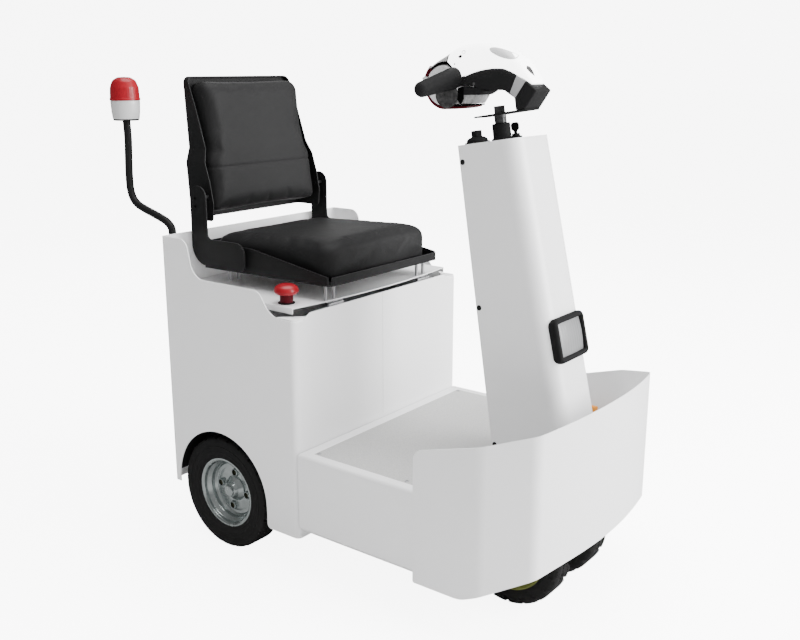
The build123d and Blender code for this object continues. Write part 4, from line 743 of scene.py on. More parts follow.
class TUG_OT_rims(bpy.types.Operator):
    """Zinc rims with dished discs and domed hubs, and the painted front rims"""

    bl_idname = "tug.rims"
    bl_label = "Rims"

    def execute(self, context):
        for name, side in SIDES:
            centre = beside(REAR_AXLE, side)
            places = around(centre, BOLT_CIRCLE, np.radians(FIRST_BOLT + 90 * np.arange(4)))
            wheel = "rear_wheel_" + name
            barrel = rounded([
                (100.5, -34, 1), (112.4, -34, 1.5), (112.4, -32, 1), (104.4, -30, 3), (104.4, -22, 4),
                (92, -13, 5), (92, 13, 5), (104.4, 22, 4), (104.4, 30, 3), (112.4, 32, 1),
                (112.4, 34, 1.5), (107, 34, 2.5), (100.8, 30.5, 4), (100.3, 21, 6), (88.4, 11, 7),
                (88.2, -13, 5), (100.5, -23, 4),
            ], 5)
            add_piece("rear_barrel_" + name, turned(barrel * (1, side), centre, ACROSS, 128), "zinc",
                      wheel, ("rear_rim_" + name,))
            dish = rounded([(39.97, -12, 0), (39.97, -8, 1), (46, -7.4, 2), (66, -7.4, 2), (74, -8, 4),
                            (83, -7, 5), (88.6, 1, 1), (89.6, -4, 1), (84, -12, 4)], 5)
            disc = add_piece("rear_disc_" + name, turned(dish * (1, side), centre, ACROSS, 128), "zinc",
                             wheel)
            cut_holes(disc, places, ACROSS, BOLT_BORE, 30)
            boss = rounded([(BOLT_BORE, -9, 0), (15.5, -9, 0), (13, -6.5, 2), (12.4, 1, 1), (11.4, 2.4, 0.6),
                            (10.2, 2.4, 0.5), (BOLT_BORE, 1.2, 0.6)], 4)
            bosses = [turned(boss * (1, side), place, ACROSS, 48) for place in places]
            add_piece("rear_bosses_" + name, merged(bosses), "zinc", wheel, smooth=30)
            hub = rounded([
                (0, 23, 0), (15.5, 23, 1), (18, 21.6, 1.5), (18, 16.6, 0.5), (21.5, 14.4, 3), (27, 5, 10),
                (39.93, -5.6, 2), (39.93, -12.1, 0), (71.8, -12.1, 1), (71.8, -22, 1), (44, -22, 1),
                (44, -47, 0), (15.1, -47, 0), (15.1, 18, 0), (0, 18, 0),
            ], 5)
            add_piece("rear_hub_dome_" + name, turned(hub * (1, side), centre, ACROSS, 96, False), "zinc",
                      wheel, ("rear_hub_" + name,), 30)
            stud = [(0, -3), (6.2, -3), (9.38, -6), (9.38, -12), (0, -12)]
            studs = [turned(np.array(stud) * (1, side), place, ACROSS, 24, False) for place in places]
            # The studs' near-black olive is partly painted shade of the bores they sit in.
            add_piece("rear_studs_" + name, merged(studs), "olive_zinc", wheel, smooth=30)
        for name, side in SIDES:
            profile = rounded([
                (14.2, -33, 1), (34, -33, 2), (34, -6, 4), (108, -6, 4), (111.5, -33, 2), (120, -33, 1),
                (120, 33, 1), (122.8, 38.5, 1), (118, 38.8, 2), (112, 32, 4), (102, 0.5, 8), (44, 0.5, 6),
                (34, 19, 4), (30, 22, 2), (14.2, 22, 1),
            ], 4)
            centre = beside(FRONT_AXLE, side)
            rim = turned(profile * (1, side), centre, ACROSS, 128)
            obj = add_piece("front_rim_dish_" + name, rim, "lime_paint", "front_wheels",
                            ("front_rim_" + name,))
            cut_holes(obj, around(centre, 74, np.arange(6) * math.pi / 3), ACROSS, 13, 25)
        return {"FINISHED"}


# Seat


class TugSeat(bpy.types.PropertyGroup):
    """Cover mesh and filling of the cushions."""

    voxel: FloatProperty(
        name="Mesh size", description="Edge length of the simulated cover", default=0.0065, min=0.004,
        max=0.02, unit="LENGTH")
    pressure: FloatProperty(
        name="Pressure", description="Pressure of the filling", default=4.0, min=0.5, max=10)
    swell: FloatProperty(
        name="Swell", description="Furthest that the cover may move", default=0.011, min=0.002, max=0.03,
        unit="LENGTH")


def pad_form(plan, rings):
    """Closed pad: each ring is the plan moved in by an inset, then drawn toward its middle by a
    share, at the height that a function of the plan's (a, b) gives. The end rings close."""
    normal = outward(plan)
    middle = (plan.min(axis=0) + plan.max(axis=0)) / 2
    grid = []
    for inset, share, height in rings:
        flat = middle + (plan - normal * inset - middle) * share
        grid.append(np.column_stack([flat, height(flat)]))
    return surface(np.array(grid), caps=(True, True))


def pad_rings(floor, top, lip, reach, drop):
    """Rings of a pad from its floor, up its wall and over a soft edge to its top. The edge moves
    in by reach (1 - cos t) and rises to the top by drop (1 - sin t)."""
    rings = [(6, 0.3, floor), (6, 0.7, floor), (5, 0.98, floor), (0, 1, lambda f: floor(f) + lip)]
    rings.append((0, 1, lambda f: 0.5 * (floor(f) + top(f)) - 0.4 * drop))
    for t in np.linspace(0, math.pi / 2, 8):
        rings.append((reach * (1 - math.cos(t)), 1, lambda f, t=t: top(f) - drop * (1 - math.sin(t))))
    return rings + [(reach, share, top) for share in (0.85, 0.65, 0.4, 0.15)]


def crease(obj, axis, level, width, depth):
    """Press a soft groove into a piece where its points lie level with a plane square to axis."""
    mesh = obj.data
    count = len(mesh.vertices)
    points = np.zeros(count * 3)
    normals = np.zeros(count * 3)
    mesh.vertices.foreach_get("co", points)
    mesh.vertices.foreach_get("normal", normals)
    points = points.reshape(-1, 3)
    near = np.exp(-((points @ np.asarray(axis) - level) / width) ** 2)
    points = points - normals.reshape(-1, 3) * (depth * near)[:, None]
    mesh.vertices.foreach_set("co", points.ravel())
    mesh.update()


FILL_FRAMES = 20


def inflate(obj, sizes):
    """Even the mesh and fill it as cloth with pressure and no gravity. Each point then moves by
    swell * tanh(distance / swell), so none lies further from its start than the swell."""
    select_only(obj)
    remesh = obj.modifiers.new("even", "REMESH")
    remesh.mode = "VOXEL"
    remesh.voxel_size = sizes.voxel
    bpy.ops.object.modifier_apply(modifier=remesh.name)
    rest = np.zeros(len(obj.data.vertices) * 3)
    obj.data.vertices.foreach_get("co", rest)
    cloth = obj.modifiers.new("filling", "CLOTH")
    settings = cloth.settings
    settings.use_pressure = True
    settings.uniform_pressure_force = sizes.pressure
    settings.effector_weights.gravity = 0
    settings.quality = 5
    settings.tension_stiffness = 40
    settings.compression_stiffness = 40
    scene = bpy.context.scene
    for step in range(1, FILL_FRAMES + 1):
        scene.frame_set(step)
    depsgraph = bpy.context.evaluated_depsgraph_get()
    moved_mesh = obj.evaluated_get(depsgraph).to_mesh()
    moved = np.zeros(len(rest))
    moved_mesh.vertices.foreach_get("co", moved)
    obj.evaluated_get(depsgraph).to_mesh_clear()
    obj.modifiers.remove(cloth)
    scene.frame_set(1)
    step = (moved - rest).reshape(-1, 3)
    length = np.linalg.norm(step, axis=1, keepdims=True)
    capped = sizes.swell * np.tanh(length / sizes.swell)
    step *= capped / np.maximum(length, 1e-9)
    obj.data.vertices.foreach_set("co", rest + step.ravel())
    obj.data.update()


def smooth_over(obj, rounds):
    """Relax the surface, then divide it once."""
    relax = obj.modifiers.new("relax", "SMOOTH")
    relax.factor = 0.5
    relax.iterations = rounds
    divide = obj.modifiers.new("divide", "SUBSURF")
    divide.levels = 1
    divide.render_levels = 1
    select_only(obj)
    bpy.ops.object.modifier_apply(modifier=relax.name)
    bpy.ops.object.modifier_apply(modifier=divide.name)


def finish_pad(obj, sizes):
    """Inflate a pad and smooth it."""
    inflate(obj, sizes)
    smooth_over(obj, 4)
    shade(obj, 80)


# Seat cushion: its ends in x, half its width, and the levels of its floor and of its top at the rear.
SEAT_REAR, SEAT_FRONT, SEAT_HALF = -488, 13, 247
SEAT_FLOOR, SEAT_TOP = 872.0, 952


class TUG_OT_seat_cushion(bpy.types.Operator):
    """Moulded seat cushion, higher at the front, with a soft waterfall edge"""

    bl_idname = "tug.seat_cushion"
    bl_label = "Seat Cushion"

    def execute(self, context):
        sizes = context.scene.tug_seat
        rear, front, half = SEAT_REAR, SEAT_FRONT, SEAT_HALF
        plan = [(rear, -half, 34), (front, -half, 52), (front, half, 52), (rear, half, 34)]
        plan = respaced(rounded(plan, 10), 200)

        def top(flat):
            x, y = flat.T
            along = np.clip((x - rear) / 500, 0, 1)
            side = np.clip(np.abs(y) / half, 0, 1)
            corner = 12 * side ** 5 * along ** 8
            return SEAT_TOP + 20 * along ** 0.8 + 6 * (1 - side ** 4) * (0.4 + 0.6 * along) - corner

        def floor(flat):
            return np.full(len(flat), SEAT_FLOOR)

        obj = add_piece("seat_cushion_pad", pad_form(plan, pad_rings(floor, top, 6, 30, 26)), "seat_cover",
                        "seat_lid", ("seat_cushion",), 80)
        finish_pad(obj, sizes)
        return {"FINISHED"}


# Back cushion: foot and head of its rear face, half its width, and the seam pressed into its front (m).
BACK_FOOT = np.array((-570.5, 0.0, 1012.0))
BACK_HEAD = np.array((-600.5, 0.0, 1438.0))
BACK_HALF = 234
SEAM_LEVEL, SEAM_WIDTH, SEAM_DEPTH = 1.167, 0.004, 0.0025


class TUG_OT_back_cushion(bpy.types.Operator):
    """Backrest cushion: thick and wide at the small of the back, slimmer and narrower above"""

    bl_idname = "tug.back_cushion"
    bl_label = "Back Cushion"

    def execute(self, context):
        sizes = context.scene.tug_seat
        half = [(BACK_HALF, 6, 16), (BACK_HALF, 166, 20), (218, 208, 24), (214, 420, 36)]
        plan = half + [(-a, b, rounding) for a, b, rounding in reversed(half)]
        plan = respaced(rounded(plan, 8), 220)
        up = (BACK_HEAD - BACK_FOOT) / np.linalg.norm(BACK_HEAD - BACK_FOOT)
        out = np.cross(ACROSS, up)
        levels = np.array((0, 51, 129, 207, 268, 378, 421))
        depths = np.array((97, 98, 95, 90, 80, 73, 70))

        def face(flat):
            a, b = flat.T
            return np.interp(b, levels, depths) + 3 * (1 - (np.abs(a) / BACK_HALF) ** 4)

        def back(flat):
            return np.full(len(flat), 3.0)

        part = placed(pad_form(plan, pad_rings(back, face, 5, 24, 24)), BACK_FOOT, ACROSS, up, out)
        obj = add_piece("back_cushion_pad", part, "seat_cover", "backrest", ("back_cushion",), 80)
        finish_pad(obj, sizes)
        crease(obj, UP, SEAM_LEVEL, SEAM_WIDTH, SEAM_DEPTH)
        return {"FINISHED"}


# Tiller head, in the column's frame


def fair(points, count):
    """Smooth open curve through points: a cubic spline by chord length, respaced."""
    points = np.asarray(points, float)
    t = np.concatenate([[0], np.cumsum(np.linalg.norm(np.diff(points, axis=0), axis=1))])
    tangent = np.gradient(points, t, axis=0)
    s = np.linspace(0, t[-1], count)
    k = np.clip(np.searchsorted(t, s, side="right") - 1, 0, len(t) - 2)
    h = (t[k + 1] - t[k])[:, None]
    u = ((s - t[k])[:, None]) / h
    return ((2 * u**3 - 3 * u**2 + 1) * points[k] + (u**3 - 2 * u**2 + u) * h * tangent[k]
            + (3 * u**2 - 2 * u**3) * points[k + 1] + (u**3 - u**2) * h * tangent[k + 1])


class TUG_OT_tiller_arm(bpy.types.Operator):
    """Gooseneck arm with its light band and wedge-shaped end block"""

    bl_idname = "tug.tiller_arm"
    bl_label = "Tiller Arm"

    def execute(self, context):
        lower = fair([(303, 1426), (330, 1423), (350, 1420), (381, 1413), (410, 1411), (446, 1411)], 26)
        upper = fair([(512, 1436), (485, 1449), (462, 1460), (436, 1466), (386, 1464), (340, 1453),
                      (303, 1437)], 30)
        arm = np.vstack([lower, [(480, 1391)], upper])
        band = rounded([(465, 1405, 0), (480.5, 1390.5, 0), (512.5, 1435.5, 0), (484.5, 1449.5, 0)], 2)
        block = rounded([(480, 1390, 1), (485, 1360.8, 1.5), (513.6, 1365.3, 2), (545.3, 1411.6, 3.5),
                         (512, 1436.2, 2)], 4)
        add_piece("tiller_gooseneck", side_slab(respaced(arm, 110), 38, 2.5), "black_plastic", "steering",
                  ("tiller_arm",), 40)
        add_piece("tiller_band", side_slab(band, 38.8, 1.0), "grey_plastic", "steering", smooth=40)
        add_piece("tiller_block", side_slab(respaced(block, 90), 40, 3.5), "black_plastic", "steering",
                  smooth=40)
        profile = [(0, 0.3), (3.2, 0.3), (4.6, -0.6), (0, -0.6)]
        holes = [turned(profile, (352, side * 38.2, 1427), (0, side, 0), 24, False) for _, side in SIDES]
        add_piece("tiller_plugs", merged(holes), "mottled_plastic", "steering", smooth=40)
        return {"FINISHED"}


# Lines (x, z) of the shell and of its hood: the crest on top and the foot at the side.
CREST = ((276, 1513), (287, 1520), (302, 1526), (332, 1531), (363, 1532), (417, 1526), (466, 1505),
         (502, 1474), (524, 1444), (531, 1430))
FOOT = ((270, 1484), (283, 1473), (297, 1456), (308, 1443), (320, 1447), (340, 1456), (386, 1467),
        (436, 1468.5), (487, 1451), (510, 1438.5), (526, 1427))
HOOD_CREST = ((211, 1472), (228, 1483), (245, 1493), (261, 1502), (273, 1510))
HOOD_FOOT = ((212, 1467), (218, 1470), (228, 1476), (238, 1481), (248, 1484), (257, 1485), (266, 1485))

# Half the shell's width, the point that the hood's edge shrinks to, and the nose's centre.
SHELL_HALF = 44.0
HOOD_CENTRE = np.array((252.5, 1430.0))
NOSE = (252.5, 1422.0)


def head_grid(foot, crest, half):
    """Sections across the head from one foot over the crest to the other. In each one the side
    goes out by half * cos(t) ** 0.5 while the height rises from foot to crest by sin(t) ** 0.72."""
    turn = np.linspace(0, math.pi, 61)[None, :]
    lateral = np.sign(np.cos(turn)) * np.abs(np.cos(turn)) ** 0.5
    rise = np.clip(np.sin(turn), 0, 1) ** 0.72
    side = foot[:, None] + (crest - foot)[:, None] * rise[..., None]
    return np.stack([side[..., 0], half[:, None] * lateral, side[..., 1]], axis=-1)


def inlaid(name, outlines, target, finish, sink=1.0, behind=False):
    """Thin plates projected on a piece and then thickened: (x, z) outlines on both its sides, or
    (y, z) outlines on the right half of its rounded end."""
    parts = []
    for _, side in SIDES[:1] if behind else SIDES:
        for outline in outlines:
            middle = outline.mean(axis=0)
            rings = np.array([middle + (outline - middle) * k for k in (0.05, 0.3, 0.55, 0.8, 1.0)])
            flat = np.full(rings.shape[:2], 600.0 if behind else side * 60.0)
            first = (flat, side * rings[..., 0]) if behind else (rings[..., 0], flat)
            parts.append(surface(np.stack([*first, rings[..., 1]], axis=-1), caps=(True, False)))
    obj = add_piece(name, merged(parts), finish, "steering", smooth=50)
    wrap = obj.modifiers.new("lie", "SHRINKWRAP")
    wrap.wrap_method = "PROJECT"
    wrap.use_project_x = behind
    wrap.use_project_y = not behind
    wrap.use_negative_direction = True
    wrap.target = target
    plate = obj.modifiers.new("plate", "SOLIDIFY")
    plate.thickness = sink * MM
    plate.offset = 0
    select_only(obj)
    bpy.ops.object.modifier_apply(modifier=wrap.name)
    bpy.ops.object.modifier_apply(modifier=plate.name)
    tidy_normals(obj)
    shade(obj, 50)


def oval(middle, reach, tilt, count=40):
    """Ellipse outline with two half axes, turned by tilt degrees."""
    t = np.linspace(0, 2 * math.pi, count, endpoint=False)
    a, b = reach[0] * np.cos(t), reach[1] * np.sin(t)
    lean = math.radians(tilt)
    return np.column_stack([middle[0] + a * math.cos(lean) - b * math.sin(lean),
                            middle[1] + a * math.sin(lean) + b * math.cos(lean)])


class TUG_OT_tiller_cover(bpy.types.Operator):
    """Domed white shell over the head, glowing as painted light, with its hood, an oval inlay, small inserts
    and near-black painted shade in its seam and slots
    """

    bl_idname = "tug.tiller_cover"
    bl_label = "Tiller Cover"

    def execute(self, context):
        foot, crest = fair(FOOT, 90), fair(CREST, 90)
        share = np.linspace(0, 1, 90)
        half = SHELL_HALF - 2 * share - 13 * np.clip((share - 0.8) / 0.2, 0, 1) ** 2
        # The shell glows white as painted light, though it is no lamp.
        shell = add_piece("tiller_shell", surface(head_grid(foot, crest, half), caps=(True, True)),
                          "shell_white", "steering", ("tiller_cover",), 50)
        hood_foot, hood_crest = fair(HOOD_FOOT, 30), fair(HOOD_CREST, 30)
        points, faces = surface(head_grid(hood_foot, hood_crest, np.full(30, SHELL_HALF)), caps=(True, True))
        nose = np.clip((250 - points[:, 0]) / 40, 0, 1)
        bulge = nose * (1 - (points[:, 1] / SHELL_HALF) ** 2)
        points[:, 0] -= 26 * bulge
        points[:, 2] -= 12 * bulge
        add_piece("tiller_hood", (points, faces), "white_plastic", "steering", smooth=50)
        seam_foot = np.array((hood_foot[-2], foot[1])) + (1.0, 1.2)
        seam_crest = np.array((hood_crest[-2], crest[1])) - (0.5, 1.6)
        seam = surface(head_grid(seam_foot, seam_crest, np.array((43.0, 43.0))), caps=(True, True))
        edge = np.vstack([hood_foot, foot[:24]])
        inner = HOOD_CENTRE + (edge - HOOD_CENTRE) * 0.9
        arc = side_slab(np.vstack([edge, inner[::-1]]), 43.2, 0.4)
        # The seam and the arc under the hood are near-black painted shade of the gaps.
        add_piece("tiller_gaps", merged([seam, arc]), "gap_black", "steering", smooth=40)
        inlaid("tiller_badge_place", [oval((438, 1505), (42, 10), -17)], shell, "badge_grey", 0.8)
        window = respaced(rounded([(28, 1466, 5), (18, 1474, 5), (6, 1471, 4), (6, 1459, 7), (10, 1447, 1),
                                   (21, 1455, 7)], 5), 40)
        inlaid("tiller_window", [window], shell, "mottled_plastic", behind=True)
        slot = [(302, 1497, 0.6), (309.5, 1502.5, 0.6), (316, 1499, 0.6), (310, 1492, 0.6)]
        slot = respaced(rounded(slot, 2), 28)
        # The slot and the small hole are near-black painted shade.
        inlaid("tiller_slots", [slot, oval((293, 1478), (2.2, 2.2), 0, 20)], shell, "gap_black")
        inlaid("tiller_rings", [oval((318, 1509), (5.4, 4.6), 0, 28)], shell, "grey_plastic", 1.2)
        # The caps glow like the shell, as painted light.
        inlaid("tiller_caps", [oval((318, 1508.6), (4, 3.4), 0, 28)], shell, "shell_white", 1.6)
        return {"FINISHED"}


class TUG_OT_tiller_nose(bpy.types.Operator):
    """Round nose: light drum with a dark side disc, push pad, near-black strips of painted shade in its gaps,
    and lower housing
    """

    bl_idname = "tug.tiller_nose"
    bl_label = "Tiller Nose"

    def execute(self, context):
        x, z = NOSE
        drum = rounded([(0, -43, 0), (50, -43, 3), (54, -40, 4), (57, -30, 6), (57, 30, 6), (54, 40, 4),
                        (50, 43, 3), (0, 43, 0)], 4)
        add_piece("tiller_drum_round", turned(drum, (x, 0, z), ACROSS, 96, False), "badge_grey",
                  "steering", ("tiller_drum",))
        discs = []
        for _, side in SIDES:
            disc = rounded([(0, 43.6, 0), (27, 43.6, 5), (34, 45.4, 3), (37, 43.6, 2), (37, 40, 0),
                            (0, 40, 0)], 4)
            discs.append(turned(disc * (1, side), (267, 0, 1398), ACROSS, 64, False))
        add_piece("tiller_side_discs", merged(discs), "mottled_plastic", "steering")
        pads = []
        for first, last, reach in ((133, 160, 70.5), (176, 272, 65.0)):
            t = np.radians(np.linspace(first, last, 40))
            outer = np.column_stack([x + reach * np.cos(t), z + reach * np.sin(t)])
            inner = np.column_stack([x + 57.2 * np.cos(t[::-1]), z + 57.2 * np.sin(t[::-1])])
            tail = [(291, 1358.5), (315, 1361.5), (334, 1365.5), (334, 1369), (290, 1366)]
            edge = [outer, tail, inner] if last > 180 else [outer, inner]
            pads.append(side_slab(np.vstack(edge), 35, 2.0))
        add_piece("tiller_push_pad", merged(pads), "crimson_plastic", "steering", ("belly_switch",), 40)
        tip = rounded([(203, 1449, 1), (183, 1445, 3), (175, 1440, 3), (180, 1434, 2), (203, 1437, 1)], 4)
        add_piece("tiller_tip", side_slab(respaced(tip, 50), 34, 2.0), "badge_grey", "steering", smooth=40)
        strip = [(289, 1367.4), (289, 1364.8), (312, 1367), (341, 1369), (342, 1373), (312, 1372)]
        wall = rounded([(302, 1416, 0), (302, 1384, 6), (310, 1372, 2), (318, 1384, 8), (318, 1416, 0)], 3)
        # The strips are near-black painted shade in the gaps between drum, push pad, housing and saddle.
        add_piece("tiller_strips",
                  merged([side_slab(np.array(strip), 36.2, 0.6), side_slab(wall, 42.0, 1.5)]), "gap_black",
                  "steering", smooth=40)
        housing = rounded([(270, 1371, 2), (344, 1374, 6), (361, 1398, 4), (355, 1403, 2), (270, 1403, 2)], 5)
        saddle = rounded([(300, 1396, 2), (366, 1398, 2), (386, 1409, 3), (376, 1418, 3), (300, 1418, 2)], 4)
        add_piece("tiller_housing", side_slab(respaced(housing, 70), 34.5, 2.5), "speckled_plastic",
                  "steering", smooth=40)
        add_piece("tiller_saddle", side_slab(respaced(saddle, 60), 36, 2.0), "black_plastic", "steering",
                  smooth=40)
        return {"FINISHED"}


# Left grip: the ends of its axis and the radius at each.
GRIP_ROOT, GRIP_END = (290.0, 26, 1444.0), (264.0, 154, 1413.0)
GRIP_RADII = (30.5, 21.0)


class TUG_OT_grips(bpy.types.Operator):
    """Tapered grips with rounded ends"""

    bl_idname = "tug.grips"
    bl_label = "Grips"

    def execute(self, context):
        parts = []
        for _, side in SIDES:
            root, end = np.array(beside(GRIP_ROOT, side)), np.array(beside(GRIP_END, side))
            s = np.linspace(0, 1, 30)[:, None]
            body = root + (end - root) * s
            radii = GRIP_RADII[0] - (GRIP_RADII[0] - GRIP_RADII[1]) * s[:, 0]
            t = np.linspace(0.1, math.pi / 2 * 0.97, 8)
            along = (end - root) / np.linalg.norm(end - root)
            tip = end + along * (19.5 * np.sin(t))[:, None]
            tip_radii = GRIP_RADII[1] * np.cos(t)
            path = np.vstack([body, tip])
            parts.append(tube(path, np.concatenate([radii, tip_radii]), 40))
        add_piece("tiller_grip_pair", merged(parts), "black_plastic", "steering", ("tiller_grips",), 60)
        return {"FINISHED"}


# Fittings on the column


# Places on the column's top, in its own frame.
SWITCH_PLACE, KEY_PLACE = (-52, -45, 0), (18, 41, 0)


class TUG_OT_steering_fittings(bpy.types.Operator):
    """Splined shaft end, nut, collar, direction switch and key"""

    bl_idname = "tug.steering_fittings"
    bl_label = "Steering Fittings"

    def execute(self, context):
        t = np.linspace(0, 2 * math.pi, 144, endpoint=False)
        spline = 15.3 + 0.8 * np.clip(np.cos(24 * t) * 2, -1, 1)
        ring = np.column_stack([spline * np.cos(t), spline * np.sin(t)])
        splined = slab(ring, 45.5, 66.8, 0.6)
        nut = slab(hexagon(16.3), 71, 84, 1.2)
        cap = [(0, 90.6), (9, 90.4), (11.5, 89.4), (12, 87), (12, 70), (0, 70)]
        cap = turned(cap, MIDDLE, UP, 48, False)
        add_piece("steering_nut", on_column(merged([splined, nut, cap])), "dark_steel", "steering", smooth=30)
        collar = rounded([(15.2, -2, 0), (29.3, -2, 0), (29.3, 4, 1.5), (26, 6, 2), (24.7, 9, 1),
                          (24.7, 43, 2.5), (22, 45.2, 1), (15.2, 45.2, 1)], 4)
        add_piece("steering_collar", on_column(turned(collar, MIDDLE, UP, 72)), "matt_black",
                  "chassis")
        dome = [(0, 18)] + [(8 + 21 * math.sin(a), 6 + 12 * math.cos(a)) for a in np.linspace(0.05, 1.5, 8)]
        dome += [(29.2, 4.4), (33.5, 4), (34, 3.4), (34, -2), (0, -2)]
        base = turned(dome, SWITCH_PLACE, UP, 64, False)
        knob = slab(respaced(rectangle(18, 10, 4, 4), 48), 12, 34, 2)
        knob = placed(knob, SWITCH_PLACE, (0.8, -0.6, 0), (0.6, 0.8, 0), UP)
        add_piece("direction_knob", on_column(merged([base, knob])), "matt_black", "chassis",
                  ("direction_switch",))
        barrel = turned([(0, 14), (10, 14), (11, 13), (11.4, 7), (16.6, 6), (17.4, 4.6), (17.4, -2), (0, -2)],
                        KEY_PLACE, UP, 48, False)
        add_piece("key_barrel", on_column(barrel), "matt_black", "chassis", ("key_switch",))
        bow = rounded([(-4.5, 10, 0), (4.5, 10, 0), (5, 18, 3), (12, 22, 6), (13, 42, 8), (-13, 42, 8),
                       (-12, 22, 6), (-5, 18, 3)], 5)
        key = slab(respaced(bow, 60), -1.6, 1.6, 0.7)
        key = placed(key, (*KEY_PLACE[:2], 2), FORWARD, UP, (0, -1, 0))
        add_piece("key_bow", on_column(key), "matt_black", "chassis")
        for node, finish in (("steering_bearing", "matt_black"), ("steering_shaft", "dark_steel"),
                             ("front_axle", "dark_steel"), ("tiller_plate", "matt_black")):
            for slot in frame["nodes"][node].material_slots:
                slot.material = bpy.data.materials[FINISH_PREFIX + finish]
        return {"FINISHED"}


# Lamp: level of its middle, half sizes of the housing and of the lens. The column's front face
# leans by its taper more than the steering axis does, and starts COLUMN_REACH before that axis.
LAMP_LEVEL = 764.0
LAMP_HALF, LENS_HALF = (80, 61), (65, 46)
COLUMN_TAPER, COLUMN_REACH = 4.2, 100.0


def headlight_frame():
    """Origin and axes of the column's front face at the lamp: across, up the face, out of it."""
    lean = math.radians(LEAN_DEGREES + COLUMN_TAPER)
    top = COLUMN_ORIGIN + COLUMN_X * COLUMN_REACH
    x = top[0] + (top[2] - LAMP_LEVEL) * math.tan(lean)
    up, out = (-math.sin(lean), 0, math.cos(lean)), (math.cos(lean), 0, math.sin(lean))
    return (x, 0, LAMP_LEVEL), ACROSS, up, out


class TUG_OT_headlight(bpy.types.Operator):
    """Square work lamp: rounded rim and a lens with moulded ribs"""

    bl_idname = "tug.headlight"
    bl_label = "Headlight"

    def execute(self, context):
        outer = respaced(rectangle(*LAMP_HALF, 18, 8), 160)
        normal = outward(outer)
        section = [(0, -22), (0, 8), (1.5, 12), (5, 15), (9, 15.6), (13, 14), (15, 10), (15, -2), (15, -22)]
        grid = [np.column_stack([outer - normal * inset, np.full(len(outer), rise)])
                for inset, rise in section]
        rim = surface(np.array(grid), wrap_rows=True)
        face = headlight_frame()
        add_piece("headlight_rim", placed(rim, *face), "matt_black", "chassis",
                  ("headlight_housing",), 40)
        a, b = LENS_HALF
        wide, high = np.meshgrid(np.linspace(-1, 1, 130) * a, np.linspace(-1, 1, 92) * b)
        dome = 11 - 3.5 * ((wide / a) ** 2 + (high / b) ** 2)
        ribs = 0.45 * np.abs(np.sin(wide * math.pi / 13)) * (np.abs(wide) < 58) * (np.abs(high) < 40)
        lens = np.stack([wide, high, dome + ribs], axis=-1)
        points, faces = surface(lens, wrap_cols=False)
        add_piece("headlight_glass", placed((points, faces), *face), "lamp_lens", "chassis",
                  ("headlight_lens",), 60)
        return {"FINISHED"}


# Beacon: place of its axis, the levels between its parts, and the pole behind the rear panel.
BEACON = (-749.0, -339.0)
FOOT_LEVEL, STAND_LEVEL, LENS_LEVEL = 1308, 1312, 1370
POLE_REAR, POLE_RADIUS = -558.0, 12.0
CLAMP_LEVELS = (810.0, 910.0)


class TUG_OT_beacon(bpy.types.Operator):
    """Warning beacon: ribbed red lens on a tapered white base with a rubber foot"""

    bl_idname = "tug.beacon"
    bl_label = "Beacon"

    def execute(self, context):
        x, y = BEACON
        foot = rounded([(0, FOOT_LEVEL, 0), (39, FOOT_LEVEL, 2), (41, 1314, 2), (0, 1314, 0)], 3)
        add_piece("beacon_foot", turned(foot, (x, y, 0), UP, 64, False), "black_plastic", "chassis")
        base = rounded([(0, STAND_LEVEL, 0), (40.5, STAND_LEVEL, 4), (43.5, 1334, 20), (45, 1362, 3),
                        (45, LENS_LEVEL, 1), (0, LENS_LEVEL, 0)], 5)
        add_piece("beacon_stand", turned(base, (x, y, 0), UP, 96, False), "white_plastic", "chassis",
                  ("beacon_base",))
        profile = rounded([(0, LENS_LEVEL, 0), (46.8, LENS_LEVEL, 0), (46.8, 1376, 1), (45.4, 1377, 1),
                           (44, 1408, 22), (36, 1430, 18), (20, 1440, 20), (0, 1441, 0)], 8)
        profile = respaced(profile, 90, closed=False)
        t = np.linspace(0, 2 * math.pi, 240, endpoint=False)
        wall = np.clip((profile[:, 1] - 1378) / 4, 0, 1) * np.clip((1412 - profile[:, 1]) / 8, 0, 1)
        radius = profile[:, 0][:, None] - 0.3 * wall[:, None] * (0.5 - 0.5 * np.cos(40 * t))
        height = profile[:, 1][:, None] + 0 * t
        grid = np.stack([x + radius * np.cos(t), y + radius * np.sin(t), height], axis=-1)
        line = [(POLE_REAR, 770), (POLE_REAR, 960), (-562, 986), (-580, 1002), (-606, 1012), (-640, 1022),
                (-690, 1036), (-722, 1048), (-742, 1066), (-752, 1092), (-754, 1125), (-751, 1190),
                (-747, 1250), (x, 1309)]
        line = fair(line, 90)
        path = np.column_stack([line[:, 0], np.full(len(line), y), line[:, 1]])
        clamp = slab(rectangle(17, 19, 3, 3), 0, 28, 2)
        clamps = [placed(clamp, (-544, y, level), ACROSS, UP, (-1, 0, 0)) for level in CLAMP_LEVELS]
        add_piece("beacon_tube", merged([tube(path, POLE_RADIUS, 32), *clamps]), "black_steel", "chassis",
                  ("beacon_pole",), 40)
        add_piece("beacon_dome", surface(grid), "red_plastic", "chassis", ("beacon_lens",), 50)
        return {"FINISHED"}


STOP_PLACE = (-83, -331, 814)


